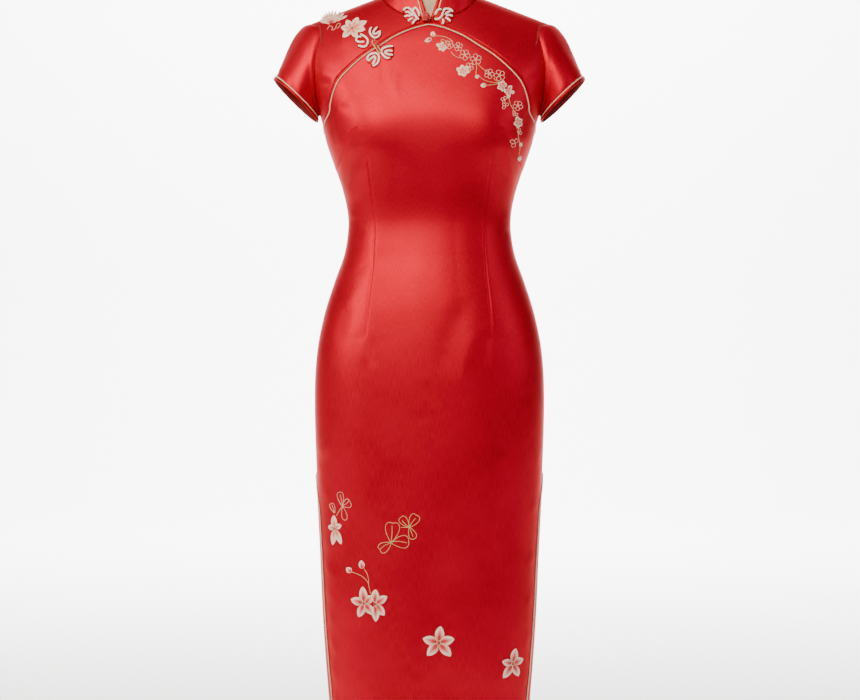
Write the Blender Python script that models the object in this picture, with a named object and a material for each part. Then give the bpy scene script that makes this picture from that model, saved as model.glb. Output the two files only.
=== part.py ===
"""A short-sleeved cheongsam on a limbless dress form, built as its cut pieces.

Metres, +Z up, the wearer faces -Y. The origin is the centre of the stand's underside.
Left and right in the names are the viewer's, so left is -X.

The body of the garment is one smooth surface, given by horizontal sections. A place on it is a
turn, 0 on the centre line and a quarter turn at the side seams, with a height. Each panel is a
wall cut out of that surface along its own seam lines, and neighbours stay a seam's width apart.
"""

import math
from collections import namedtuple

import bmesh
import bpy
from mathutils import Vector
from mathutils.geometry import delaunay_2d_cdt

MM = 0.001
FRONT = -1
BACK = 1
SIDES = (("left", -1), ("right", 1))
QUARTER = math.pi / 2

# Cloth and trimming
CLOTH = 1.2 * MM
SEAM = 0.3 * MM
SLEEVE_SEAM = 0.5 * MM
PIPING_WIDTH = 1.7 * MM
PIPING_PROUD = 0.6 * MM
BINDING_WIDTH = 4.0 * MM
COLLAR_BINDING_WIDTH = 7.0 * MM
SLIT_BINDING_WIDTH = 15.0 * MM
LAID_THICKNESS = 0.9 * MM

# Heights above the floor
HEM_Z = 0.262
SLIT_Z = 0.685
UNDERARM_Z = 1.236
FORM_BOTTOM_Z = 0.720
FORM_TOP_Z = 1.496

# Shoulder line
TIP_X = 0.1835
TIP_Z = 1.3766
SHOULDER_SLOPE = 0.397
NECK_SOFTNESS = 0.030
ROLL_DEPTH = 0.100

# Neckline in plan
NECK_HALF_WIDTH = 0.076
NECK_FRONT = 0.062
NECK_BACK = 0.055
NECK_SQUARENESS = 2.2

# Armhole and cuff
ARMHOLE_FRONT = 0.046
ARMHOLE_BACK = 0.051
CUFF_OUTER = Vector((0.2418, 0.0, 1.2898))
CUFF_INNER = Vector((0.1735, 0.0, 1.2245))
CUFF_HALF_DEPTH = 0.053
CUFF_FRONT_LIFT = 0.004

# Collar
COLLAR_HEIGHT = 0.046
COLLAR_LEAN = math.radians(9)
COLLAR_END = 1.6 * MM
COLLAR_FOOT_GAP = 0.5 * MM
COLLAR_SPREAD = 0.34
COLLAR_CORNER = 0.019

# Slit
SLIT_HALF_GAP_AT_HEM = 0.007

# Bust and darts
BUST_X = 0.096
BUST_Z = 1.186
BUST_RISE = 0.009
BUST_ACROSS = 0.042
BUST_ABOVE = 0.060
BUST_BELOW = 0.034
DART_RIDGE = 0.0026
DART_REACH = 0.045

# Dress form and stand
FORM_CLEARANCE = 3.8 * MM
SHOULDER_CLEARANCE = 0.8 * MM
FORM_NECK_HALF_WIDTH = 0.061
FORM_NECK_HALF_DEPTH = 0.047
FORM_NECK_TAPER = 0.05
FORM_NECK_FORWARD = 0.004
FORM_FILLET = 0.010
ARM_PLATE_X = 0.156
ARM_PLATE_SLOPE = 0.08
CAP_HEIGHT = 0.010
POLE_RADIUS = 0.014
BASE_RADIUS = 0.180
BASE_HEIGHT = 0.012

# Frog fastenings
FROG_CORD = 0.7 * MM
PAD_THICKNESS = 1.4 * MM
FROG_BRIDGE = 7 * MM
KNOT_RADIUS = 6.8 * MM
COLLAR_KNOT = (-0.0050, 1.3760)
LAPEL_KNOT = (-0.0805, 1.3315)

# Each half of a frog in the front view: the fan's hub, the way it opens and half its spread in
# degrees, the hub's and the tips' radii in millimetres, and its number of loops
Fan = namedtuple("Fan", "name across height turn spread hub reach loops")
COLLAR_FROGS = [
    Fan("collar_left", -24, 1379.5, 180, 112, 6.0, 15.0, 4),
    Fan("collar_right", 24, 1379.5, 0, 112, 6.0, 15.0, 4),
]
LAPEL_FROGS = [
    Fan("lapel_upper_a", -83, 1348.3, 80, 55, 5.0, 12.0, 2),
    Fan("lapel_upper_b", -98, 1339.3, 180, 55, 5.0, 12.0, 2),
    Fan("lapel_lower_a", -66.7, 1323.4, -8, 55, 5.0, 12.0, 2),
    Fan("lapel_lower_b", -82.7, 1315.6, -115, 55, 5.0, 12.0, 2),
]

# Body sections in millimetres: half width at the side seams, depth of the front and of the back
# from the side seams' plane, and how square the section is (2 is an ellipse)
Section = namedtuple("Section", "height half_width front back squareness")
BODY = [
    Section(200, 142, 86, 94, 2.30),
    Section(262, 148, 89, 98, 2.30),
    Section(330, 155, 93, 103, 2.30),
    Section(450, 164, 98, 112, 2.30),
    Section(560, 169, 102, 119, 2.30),
    Section(685, 175, 106, 124, 2.30),
    Section(800, 178, 108, 125, 2.30),
    Section(870, 174, 106, 119, 2.30),
    Section(930, 162, 101, 107, 2.25),
    Section(980, 146, 94, 92, 2.20),
    Section(1020, 132, 88, 79, 2.20),
    Section(1062, 126, 84, 72, 2.20),
    Section(1090, 128, 86, 71, 2.25),
    Section(1120, 135, 92, 74, 2.30),
    Section(1150, 145, 100, 80, 2.40),
    Section(1190, 159, 108, 87, 2.60),
    Section(1225, 167, 110, 92, 2.70),
    Section(1260, 178, 105, 96, 2.70),
    Section(1300, 187, 94, 98, 2.70),
    Section(1340, 193, 80, 95, 2.70),
    Section(1370, 196, 69, 89, 2.70),
    Section(1400, 198, 60, 80, 2.70),
    Section(1450, 200, 46, 62, 2.70),
]

# The lapel's piping line from the centre front to the side seam, in millimetres
Lapel = namedtuple("Lapel", "across height")
LAPEL = [
    Lapel(0, 1365.5),
    Lapel(31, 1357),
    Lapel(54, 1346),
    Lapel(72, 1334),
    Lapel(94, 1320),
    Lapel(120, 1298),
    Lapel(136, 1281),
    Lapel(145, 1263),
    Lapel(150, 1244),
    Lapel(154, 1228),
]
LAPEL_END_Z = 1.205

# The waist dart's line from its lower to its upper point, in millimetres
Dart = namedtuple("Dart", "height across")
WAIST_DART = [
    Dart(890, 96),
    Dart(903, 95),
    Dart(950, 91),
    Dart(1000, 86),
    Dart(1060, 84),
    Dart(1110, 88),
    Dart(1150, 93),
    Dart(1182, 97),
]

# How finely the seam lines and the panels are divided
LAPEL_STEPS = 13
NECK_FRONT_STEPS = 9
NECK_BACK_STEPS = 7
SHOULDER_STEPS = 4
ARMHOLE_STEPS = 9
FLAT_SCALE = 0.125


def smooth_value(rows, key, field, at):
    """Reads one column of a table with a smooth curve through its rows."""
    keys = [getattr(row, key) for row in rows]
    values = [getattr(row, field) for row in rows]
    at = min(max(at, keys[0]), keys[-1])
    i = max(k for k in range(len(keys) - 1) if keys[k] <= at)

    def slope(k):
        before, after = max(k - 1, 0), min(k + 1, len(keys) - 1)
        return (values[after] - values[before]) / (keys[after] - keys[before])

    span = keys[i + 1] - keys[i]
    t = (at - keys[i]) / span
    return (
        values[i] * (1 + 2 * t) * (1 - t) ** 2
        + slope(i) * span * t * (1 - t) ** 2
        + values[i + 1] * t * t * (3 - 2 * t)
        + slope(i + 1) * span * t * t * (t - 1)
    )


def section_at(height):
    """The body section at a height, in metres."""
    mm = height / MM
    return Section(
        height,
        *(smooth_value(BODY, "height", f, mm) * MM for f in ("half_width", "front", "back")),
        smooth_value(BODY, "height", "squareness", mm),
    )


def power(value, exponent):
    """A power that keeps the sign."""
    return math.copysign(abs(value) ** exponent, value)


def smooth_step(t):
    t = min(max(t, 0.0), 1.0)
    return t * t * (3 - 2 * t)


def shoulder_height(x):
    """Height of the shoulder line above a point, softened where it runs under the collar."""
    return TIP_Z + (TIP_X - math.hypot(x, NECK_SOFTNESS)) * SHOULDER_SLOPE + NECK_SOFTNESS**2


def shoulder_roll(x, height, drop=0.0):
    """Share of the full depth that is left where the cloth rolls over the shoulder line."""
    t = (shoulder_height(x) - drop - height) / ROLL_DEPTH
    t = min(max(t, 0.0), 1.0)
    return math.sqrt(1 - (1 - t) ** 2)


def bust_rise(x, height):
    """How far the front stands out over the bust, shaped by the darts."""
    tall = BUST_ABOVE if height > BUST_Z else BUST_BELOW
    across = (abs(x) - BUST_X) / BUST_ACROSS
    return BUST_RISE * math.exp(-(across**2) - ((height - BUST_Z) / tall) ** 2)


def dart_across(height):
    return smooth_value(WAIST_DART, "height", "across", height / MM) * MM


def dart_ridge(x, height):
    """The corner that a waist dart leaves in the section, none at the dart's two points."""
    low, high = WAIST_DART[0].height * MM, WAIST_DART[-1].height * MM
    if not low < height < high:
        return 0.0
    strength = math.sin(math.pi * (height - low) / (high - low)) ** 0.6
    away = abs(abs(x) - dart_across(height))
    return DART_RIDGE * strength * max(0.0, 1 - away / DART_REACH)


def body_point(side, place):
    """A point of the body's surface. On a seam in the plane y = 0 it stays half a seam off it."""
    turn, height = place
    row = section_at(height)
    e = 2 / row.squareness
    x = row.half_width * power(math.sin(turn), e)
    cosine = max(math.cos(turn), 0.0)
    depth = (row.front if side == FRONT else row.back) * cosine**e
    edge = min(1.0, 4 * cosine)
    if side == FRONT:
        depth += bust_rise(x, height) * edge
    depth += dart_ridge(x, height) * edge
    return Vector((x, side * max(depth * shoulder_roll(x, height), SEAM * 0.6), height))


Place = namedtuple("Place", "turn height")


def turn_for(x, height):
    """The turn of a point at this distance from the centre line."""
    row = section_at(height)
    share = min(abs(x) / row.half_width, 1.0)
    return math.copysign(math.asin(share ** (row.squareness / 2)), x)


def place_for(x, height):
    return Place(turn_for(x, height), height)


def place_near(side, point):
    """The place on the body's surface level with a point that lies close to it."""

    def too_far_round(turn):
        here = body_point(side, Place(turn, point.z))
        return here.x * abs(point.y) - abs(point.x) * abs(here.y)

    return Place(math.copysign(solve(too_far_round, 0.0, QUARTER), point.x), point.z)


def body_normal(side, place):
    """The outward normal of the body's surface."""
    turn, height = place
    here = body_point(side, place)
    below_crest = shoulder_height(here.x) - height
    if below_crest < 0.2 * MM:
        slope = SHOULDER_SLOPE * here.x / math.hypot(here.x, NECK_SOFTNESS)
        return Vector((slope, 0.0, 1.0)).normalized()
    step = 1 * MM
    if abs(turn) > QUARTER - 0.004:
        rise = section_at(height + step).half_width - section_at(height - step).half_width
        return Vector((math.copysign(1, turn), 0.0, -rise / (2 * step))).normalized()
    small = 0.002
    high = min(0.4 * MM, 0.8 * below_crest)
    along = body_point(side, Place(turn + small, height)) - body_point(side, Place(turn - small, height))
    up = body_point(side, Place(turn, height + high)) - body_point(side, Place(turn, height - 0.4 * MM))
    return (along.cross(up) * -side).normalized()


def solve(function, low, high):
    """The place between low and high where a rising or falling function crosses zero."""
    low_sign = function(low) > 0
    for _ in range(40):
        middle = (low + high) / 2
        if (function(middle) > 0) == low_sign:
            low = middle
        else:
            high = middle
    return (low + high) / 2


def even_places(places, count):
    """Points at even steps along a smooth line through the given places."""
    fine = []
    last = len(places) - 1
    for i in range(last):
        near = [places[min(max(i + k, 0), last)] for k in (-1, 0, 1, 2)]
        for k in range(12):
            fine.append(Place(*(0.5 * curve_sum(k / 12, *column) for column in zip(*near))))
    fine.append(places[-1])
    lengths = [0.0]
    for one, two in zip(fine, fine[1:]):
        lengths.append(lengths[-1] + math.hypot((two.turn - one.turn) * 0.15, two.height - one.height))
    result = []
    for k in range(count):
        at = lengths[-1] * k / (count - 1)
        i = min(max(j for j in range(len(fine)) if lengths[j] <= at + 1e-12), len(fine) - 2)
        t = min(1.0, (at - lengths[i]) / (lengths[i + 1] - lengths[i]))
        result.append(Place(*(p + (q - p) * t for p, q in zip(fine[i], fine[i + 1]))))
    return result


def curve_sum(t, p, q, r, s):
    """Twice a smooth curve's value between q and r, with neighbours p and s."""
    return 2 * q + (r - p) * t + (2 * p - 5 * q + 4 * r - s) * t * t + (3 * q - p - 3 * r + s) * t**3


# Seam lines of the body, on the right half. Those of the left half are mirrored.


def side_place(side, height, gap=SEAM * 0.6):
    """The edge of a panel at the side seam or, with a wider gap, at the slit."""
    row = section_at(height)
    full = row.front if side == FRONT else row.back
    return Place(math.acos((gap / full) ** (row.squareness / 2)), height)


def side_line(side, low, high, count):
    """A panel's side edge between two heights, drawn back below the top of the slit."""
    line = []
    for k in range(count + 1):
        height = low + (high - low) * k / count
        open_share = max(0.0, (SLIT_Z - height) / (SLIT_Z - HEM_Z))
        line.append(side_place(side, height, SEAM * 0.6 + SLIT_HALF_GAP_AT_HEM * open_share))
    return line


def lapel_line():
    """The lapel's piping line from the centre front to the side seam."""
    places = [place_for(p.across * MM, p.height * MM) for p in LAPEL]
    line = even_places(places + [Place(QUARTER, LAPEL_END_Z)], LAPEL_STEPS + 1)
    line[-1] = side_place(FRONT, LAPEL_END_Z)
    return line


def lapel_offset(reach):
    """The lapel line moved up over the surface by a distance."""
    line = lapel_line()
    points = [body_point(FRONT, p) for p in line]
    moved = []
    for i, place in enumerate(line):
        before, after = max(i - 1, 0), min(i + 1, len(line) - 1)
        along = Vector((1, 0, 0)) if i == 0 else (points[after] - points[before]).normalized()
        out = body_normal(FRONT, place).cross(along).normalized()
        out *= math.copysign(1, out.z)
        if i == len(line) - 1:
            moved.append(side_place(FRONT, place.height + reach / max(out.z, 0.3)))
            continue
        near = place_near(FRONT, points[i] + out * reach)
        moved.append(Place(0.0, near.height) if i == 0 else near)
    return moved


def neck_place(angle):
    """Where the neckline crosses the surface: angle 0 at the centre front, pi at the back."""
    e = 2 / NECK_SQUARENESS
    side = FRONT if math.cos(angle) > 0 else BACK
    x = NECK_HALF_WIDTH * power(math.sin(angle), e)
    y = (NECK_FRONT if side == FRONT else NECK_BACK) * abs(math.cos(angle)) ** e
    top = shoulder_height(x)
    if y < 0.01 * MM:
        return place_for(x, top)
    return place_for(x, solve(lambda z: abs(body_point(side, place_for(x, z)).y) - y, top - 0.09, top))


def armhole_place(angle):
    """The armhole: angle 0 at the shoulder tip, a quarter turn at the front."""
    middle, half = (TIP_Z + UNDERARM_Z) / 2, (TIP_Z - UNDERARM_Z) / 2
    height = middle + half * math.cos(angle)
    side = FRONT if math.sin(angle) >= 0 else BACK
    y = (ARMHOLE_FRONT if side == FRONT else ARMHOLE_BACK) * abs(math.sin(angle)) ** 0.85
    if y < 0.01 * MM:
        return place_for(TIP_X, shoulder_height(TIP_X)) if math.cos(angle) > 0 else side_place(side, height)
    width = section_at(height).half_width
    x = solve(lambda x: abs(body_point(side, place_for(x, height)).y) - y, 0.10, width)
    return place_for(x, height)


def neck_angles(side):
    """Angles along the neckline from the centre line to the shoulder seam."""
    if side == FRONT:
        return [QUARTER * (k / NECK_FRONT_STEPS) ** 1.4 for k in range(NECK_FRONT_STEPS + 1)]
    return [math.pi - QUARTER * k / NECK_BACK_STEPS for k in range(NECK_BACK_STEPS + 1)]


def top_line(side):
    """Neckline, shoulder seam and armhole, from the centre line to the underarm."""
    line = [neck_place(angle) for angle in neck_angles(side)]
    for k in range(1, SHOULDER_STEPS):
        x = NECK_HALF_WIDTH + (TIP_X - NECK_HALF_WIDTH) * k / SHOULDER_STEPS
        line.append(place_for(x, shoulder_height(x)))
    line += [armhole_place(-side * math.pi * k / ARMHOLE_STEPS) for k in range(ARMHOLE_STEPS + 1)]
    return line


def mirror(line):
    return [Place(-p.turn, p.height) for p in line]


def both_halves(line):
    """A right half's line, from the left end over the centre to the right end."""
    return mirror(line[:0:-1]) + list(line)


# Meshes


def finish_mesh(name, bm, material):
    """Makes an object of a bmesh, with its faces pointing out."""
    bmesh.ops.recalc_face_normals(bm, faces=bm.faces)
    mesh = bpy.data.meshes.new(name)
    bm.to_mesh(mesh)
    bm.free()
    mesh.materials.append(MATERIALS[material])
    mesh.shade_smooth()
    mesh.set_sharp_from_angle(angle=math.radians(40))
    thing = bpy.data.objects.new(name, mesh)
    bpy.context.scene.collection.objects.link(thing)
    return thing


def flat(place):
    """A place laid flat: its turn, and its height with the roll over the shoulder unrolled."""
    row = section_at(place.height)
    x = row.half_width * power(math.sin(place.turn), 2 / row.squareness)
    share = min(max((shoulder_height(x) - place.height) / ROLL_DEPTH, 0.0), 1.0)
    return Vector((place.turn * FLAT_SCALE, place.height + ROLL_DEPTH * (share - math.acos(1 - share))))


def distance_to_line(point, line, closed):
    """Distance in the flat from a point to a line of points."""
    best = 1.0
    for i in range(len(line) if closed else len(line) - 1):
        a, b = line[i], line[(i + 1) % len(line)]
        t = min(max((point - a).dot(b - a) / (b - a).length_squared, 0.0), 1.0)
        best = min(best, (point - a - (b - a) * t).length)
    return best


def is_inside(point, loop):
    """Whether a point in the flat lies inside a closed loop."""
    inside = False
    for i, b in enumerate(loop):
        a = loop[i - 1]
        if (a.y > point.y) != (b.y > point.y):
            if point.x < a.x + (point.y - a.y) * (b.x - a.x) / (b.y - a.y):
                inside = not inside
    return inside


def fill_places(loop, lines, low, high):
    """Places that fill a panel, closer together over the bust and near the shoulder line."""
    found = []
    edge = [flat(p) for p in loop]
    creases = [[flat(p) for p in line] for line in lines]

    def offer(place, room):
        point = flat(place)
        if not is_inside(point, edge) or distance_to_line(point, edge, True) < room:
            return
        if any(distance_to_line(point, crease, False) < room for crease in creases):
            return
        if all((point - flat(other)).length > room for other in found):
            found.append(place)

    for turned_in in (0.14, 0.28, 0.44, 0.62, 0.82):
        for k in range(-9, 10):
            x = TIP_X * k / 9
            offer(place_for(x, shoulder_height(x) - ROLL_DEPTH * (1 - math.cos(turned_in))), 0.0065)
    height, row = low, 0
    while height < high:
        step = 0.030 if height < 0.88 else 0.021 if height < 1.10 else 0.017
        columns = 12 if height < 1.10 else 16
        for k in range(columns):
            turn = ((k + 0.5 * (row % 2) + 0.25) / columns * 2 - 1) * QUARTER
            offer(Place(turn, height), step * 0.5)
        height += step
        row += 1
    return found


def panel(name, side, loop, lines=(), half=0):
    """A wall cut from the body's surface inside a closed loop, creased along the given lines."""
    heights = [p.height for p in loop]
    places = list(loop)
    links = [(i, (i + 1) % len(loop)) for i in range(len(loop))]
    for line in lines:
        first = len(places)
        places += line
        links += [(first + i, first + i + 1) for i in range(len(line) - 1)]
    places += fill_places(loop, lines, min(heights) + 0.012, max(heights))
    points, _, faces, sources, _, _ = delaunay_2d_cdt([flat(p) for p in places], links, [], 1, 1e-7)

    bm = bmesh.new()
    skins = ([], [])
    found = {}
    for i, origin in enumerate(sources):
        place = places[origin[0]]
        found.update((o, i) for o in origin)
        point = body_point(side, place)
        if half and abs(point.x) < SEAM * 0.6:
            point.x = half * SEAM * 0.6
        skins[0].append(bm.verts.new(point))
        skins[1].append(bm.verts.new(point - body_normal(side, place) * CLOTH))
    for skin in skins:
        for face in faces:
            bm.faces.new([skin[i] for i in face])
    for i in range(len(loop)):
        a, b = found[i], found[(i + 1) % len(loop)]
        bm.faces.new((skins[0][a], skins[0][b], skins[1][b], skins[1][a]))
    finish_mesh(name, bm, "satin")


def wall(name, outer, inner, material, ring=False):
    """A wall between two grids of points. A ring closes on itself along its rows."""
    bm = bmesh.new()
    skins = [[[bm.verts.new(p) for p in row] for row in grid] for grid in (outer, inner)]
    rows, columns = len(outer), len(outer[0])
    for c in range(columns if ring else columns - 1):
        d = (c + 1) % columns
        for skin in skins:
            for low, high in zip(skin, skin[1:]):
                bm.faces.new((low[c], low[d], high[d], high[c]))
        for r in (0, rows - 1):
            bm.faces.new((skins[0][r][c], skins[0][r][d], skins[1][r][d], skins[1][r][c]))
    if not ring:
        for c in (0, columns - 1):
            for r in range(rows - 1):
                corners = (skins[0][r][c], skins[0][r + 1][c], skins[1][r + 1][c], skins[1][r][c])
                bm.faces.new(corners)
    finish_mesh(name, bm, material)


def strip(name, rows, top, bottom, material, ring=False):
    """A narrow strip. Each row holds points with their normals; top and bottom are its faces."""
    outer = [[p + n * top for p, n in row] for row in rows]
    inner = [[p + n * bottom for p, n in row] for row in rows]
    wall(name, outer, inner, material, ring)


def with_normals(side, line):
    return [(body_point(side, p), body_normal(side, p)) for p in line]


def trim(name, row_at, binding_width, ring=False):
    """The piping along a panel's edge and the binding beyond it, between the panels they join."""
    near = SEAM + PIPING_WIDTH
    strip("piping_" + name, [row_at(SEAM), row_at(near)], PIPING_PROUD, -CLOTH, "ivory", ring)
    far = near + SEAM + binding_width
    strip("binding_" + name, [row_at(near + SEAM), row_at(far)], 0.0, -CLOTH, "satin", ring)


def trim_width(binding_width):
    return 2 * SEAM + PIPING_WIDTH + binding_width


# Panels


def dart_line():
    """The waist dart on the right half."""
    low, high = WAIST_DART[0].height * MM, WAIST_DART[-1].height * MM
    heights = [low + (high - low) * k / 11 for k in range(12)]
    return [place_for(dart_across(z), z) for z in heights]


def skirt_edge(side, top, count):
    """Right side edge downwards, the hem from right to left, and the left side edge upwards."""
    down = side_line(side, SLIT_Z, top, count)[:0:-1] + side_line(side, HEM_Z, SLIT_Z, 14)[::-1]
    corner = down[-1].turn
    hem = [Place(corner * (1 - 2 * k / 14), HEM_Z) for k in range(1, 14)]
    return down, hem, mirror(down)[::-1]


def make_front():
    """The front panel, up to the lapels' piping line."""
    down, hem, up = skirt_edge(FRONT, LAPEL_END_Z, 20)
    dart = dart_line()
    panel("front_panel", FRONT, both_halves(lapel_line()) + down[1:] + hem + up[:-1], (dart, mirror(dart)))
    trim("lapel", lapel_row, BINDING_WIDTH)


def lapel_row(reach):
    return with_normals(FRONT, both_halves(lapel_offset(reach)))


def make_back():
    """The back panel in one piece, up to the neckline, shoulder seams and armholes."""
    down, hem, up = skirt_edge(BACK, UNDERARM_Z, 21)
    dart = dart_line()
    panel("back_panel", BACK, both_halves(top_line(BACK)) + down[1:] + hem + up[:-1], (dart, mirror(dart)))


def make_yoke(name, sign):
    """The chest piece between the lapel, the collar, the shoulder seam and the armhole."""
    lower = lapel_offset(trim_width(BINDING_WIDTH) + SEAM)
    loop = lower + top_line(FRONT)[::-1]
    panel(name, FRONT, mirror(loop) if sign < 0 else loop, half=sign)


def slit_trim(name, side):
    """Piping and binding down both slit edges of a panel, laid on its face beside the edge."""
    for label, sign in SIDES:
        line = side_line(side, HEM_Z, SLIT_Z - 0.004, 12)
        base = with_normals(side, line if sign > 0 else mirror(line))

        def row_at(reach):
            row = []
            for i, (point, normal) in enumerate(base):
                along = base[min(i + 1, 12)][0] - base[max(i - 1, 0)][0]
                out = normal.cross(along).normalized()
                out *= math.copysign(1, out.y * side)
                row.append((body_point(side, place_near(side, point + out * reach)), normal))
            return row

        tag = f"slit_{name}_{label}"
        start = SLIT_BINDING_WIDTH + SEAM
        rows = [row_at(0.1 * MM + (SLIT_BINDING_WIDTH - 0.1 * MM) * k / 5) for k in range(6)]
        strip("binding_" + tag, rows, SEAM + LAID_THICKNESS, SEAM, "satin")
        rows = [row_at(start), row_at(start + PIPING_WIDTH)]
        strip("piping_" + tag, rows, SEAM + LAID_THICKNESS + PIPING_PROUD, SEAM, "ivory")


def sleeve_columns(sign):
    """For each column of a sleeve: armhole point, its normal, the cuff's point and the angle."""
    centre = (CUFF_OUTER + CUFF_INNER) / 2
    chord = (CUFF_OUTER - CUFF_INNER) / 2
    across = Vector((0, -CUFF_HALF_DEPTH, CUFF_FRONT_LIFT))
    flip = Vector((sign, 1, 1))
    columns = []
    for k in range(2 * ARMHOLE_STEPS):
        angle = math.pi * k / ARMHOLE_STEPS
        side = FRONT if k <= ARMHOLE_STEPS else BACK
        place = armhole_place(angle)
        point, normal = body_point(side, place), body_normal(side, place)
        if k in (0, ARMHOLE_STEPS):
            point.y = 0.0
        cuff = centre + chord * math.cos(angle) + across * math.sin(angle)
        columns.append((point * flip, normal * flip, cuff * flip, angle))
    return columns


def sleeve_point(column, sign, share):
    """A point of the sleeve, from the armhole seam at 0 to the cuff's edge at 1."""
    armhole, normal, cuff, angle = column
    length = (cuff - armhole).length
    steep = math.radians(38 - 14 * math.cos(angle))
    start = Vector((sign * math.cos(steep), 0, -math.sin(steep))) + normal * 0.25
    end = Vector((sign * math.cos(math.radians(56)), 0, -math.sin(math.radians(56))))
    t = share
    return (
        armhole * (1 + 2 * t) * (1 - t) ** 2
        + start.normalized() * length * 0.95 * t * (1 - t) ** 2
        + cuff * t * t * (3 - 2 * t)
        + end * length * 0.95 * t * t * (t - 1)
    )


def sleeve_ring(columns, sign, shares):
    """A ring of the sleeve with its normals, at a share of each column's length."""
    points = [sleeve_point(c, sign, s) for c, s in zip(columns, shares)]
    if shares[0] == 0:
        return [(p, c[1]) for p, c in zip(points, columns)]
    middle = sum(points, Vector()) / len(points)
    ring = []
    for k, (column, share) in enumerate(zip(columns, shares)):
        down = points[k] - sleeve_point(column, sign, share - 0.02)
        out = down.cross(points[(k + 1) % len(points)] - points[k - 1]).normalized()
        out *= math.copysign(1, out.dot(points[k] - middle))
        ring.append((points[k], out))
    return ring


def make_sleeve(name, sign):
    """A short sleeve from the armhole to its trimmed cuff."""
    columns = sleeve_columns(sign)
    reach = trim_width(BINDING_WIDTH)

    def shares_at(distance):
        return [1 - distance / (cuff - armhole).length for armhole, _, cuff, _ in columns]

    ends = shares_at(reach)
    rings = [sleeve_ring(columns, sign, [e * s for e in ends]) for s in (0.0, 0.22, 0.48, 0.74, 1.0)]
    middle = sum((p for p, _ in rings[0]), Vector()) / len(columns)
    for k, (point, normal) in enumerate(rings[0]):
        inward = middle - point
        inward -= normal * inward.dot(normal)
        inward.normalize()
        folded = (1 - math.cos(columns[k][3])) / 2
        rings[0][k] = (point + inward * SLEEVE_SEAM, normal.lerp(-inward, folded).normalized())
    strip("sleeve_" + name, rings, 0.0, -CLOTH, "satin", ring=True)
    trim("cuff_" + name, lambda d: sleeve_ring(columns, sign, shares_at(reach - d)), BINDING_WIDTH, ring=True)


# Collar. A place on it is a run along the neckline from the centre front, and a rise above it.


def neck_foot(angle):
    """The neckline on the body's surface. Angles past the centre lines mirror across them."""
    inside = abs(angle) if angle <= math.pi else 2 * math.pi - angle
    side = FRONT if math.cos(inside) > 0 else BACK
    point = body_point(side, neck_place(inside))
    if inside == QUARTER:
        point.y = 0.0
    if angle < 0 or angle > math.pi:
        point.x = -point.x
    return point


def neck_line():
    """Lengths along the right half of the neckline against its angles."""
    angles = sorted(set(neck_angles(FRONT) + neck_angles(BACK)))
    rows = [(0.0, 0.0)]
    for before, angle in zip(angles, angles[1:]):
        middle = neck_foot((before + angle) / 2)
        length = (middle - neck_foot(before)).length + (neck_foot(angle) - middle).length
        rows.append((rows[-1][0] + length, angle))
    return rows


def collar_point(run, rise):
    """A point of the collar and its outward normal. Its front ends slant apart upwards."""
    half = NECK_LINE[-1][0]
    sign = 1 if run < half else -1
    near = run if run < half else 2 * half - run
    near += COLLAR_SPREAD * rise * max(0.0, 1 - near / (0.4 * half))
    i = max(k for k in range(len(NECK_LINE) - 1) if NECK_LINE[k][0] <= near + 1e-9)
    t = (near - NECK_LINE[i][0]) / (NECK_LINE[i + 1][0] - NECK_LINE[i][0])
    angle = NECK_LINE[i][1] + (NECK_LINE[i + 1][1] - NECK_LINE[i][1]) * t
    foot = neck_foot(angle)
    along = neck_foot(angle + 0.01) - neck_foot(angle - 0.01)
    out = Vector((along.y, -along.x, 0)).normalized()
    out *= math.copysign(1, out.dot(Vector((foot.x, foot.y, 0))))
    up = Vector((0, 0, math.cos(COLLAR_LEAN))) - out * math.sin(COLLAR_LEAN)
    normal = out * math.cos(COLLAR_LEAN) + Vector((0, 0, math.sin(COLLAR_LEAN)))
    flip = Vector((sign, 1, 1))
    return (foot + up * (rise + COLLAR_FOOT_GAP)) * flip, normal * flip


def collar_columns(inset):
    """Runs of the collar's columns on the right half, closer together at the front corner."""
    corner = COLLAR_CORNER - inset
    start = COLLAR_END + inset
    runs = [start + corner * (1 - math.cos(QUARTER * k / 4)) for k in range(5)]
    limit = COLLAR_END + COLLAR_CORNER + 4 * MM
    return runs + [length for length, _ in NECK_LINE if length > limit]


def collar_height_at(run, inset):
    """Height of the collar's edge above its foot, moved in by an inset, with its round corner."""
    corner = COLLAR_CORNER - inset
    near = max(run - COLLAR_END - inset, 0.0)
    fall = 0.0 if near >= corner else corner - math.sqrt(corner**2 - (corner - near) ** 2)
    return COLLAR_HEIGHT - inset - fall


def collar_rim(inset):
    """The collar's edge, from one foot at the front over the top to the other, at an inset."""
    runs = collar_columns(inset)
    first = collar_height_at(runs[0], inset)
    half = [(runs[0], first * k / 3) for k in range(3)]
    half += [(run, collar_height_at(run, inset)) for run in runs]
    total = 2 * NECK_LINE[-1][0]
    return [collar_point(*place) for place in half + [(total - u, h) for u, h in half[-2::-1]]]


def make_collar():
    """The stand collar: its band, then the piping and the binding round its edge."""
    reach = trim_width(COLLAR_BINDING_WIDTH)
    runs = collar_columns(reach)
    total = 2 * NECK_LINE[-1][0]
    rows = []
    for share in (0.0, 0.36, 0.72, 1.0):
        half = [(run, collar_height_at(run, reach) * share) for run in runs]
        rows.append([collar_point(*p) for p in half + [(total - u, h) for u, h in half[-2::-1]]])
    strip("collar_stand", rows, 0.0, -CLOTH, "satin")
    trim("collar", lambda d: collar_rim(reach - d), COLLAR_BINDING_WIDTH)


# Frog fastenings


def run_at(angle):
    """The run along the neckline at an angle."""
    i = max(k for k in range(len(NECK_LINE) - 1) if NECK_LINE[k][1] <= angle + 1e-9)
    (low, start), (high, end) = NECK_LINE[i : i + 2]
    return low + (high - low) * (angle - start) / (end - start)


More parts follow.
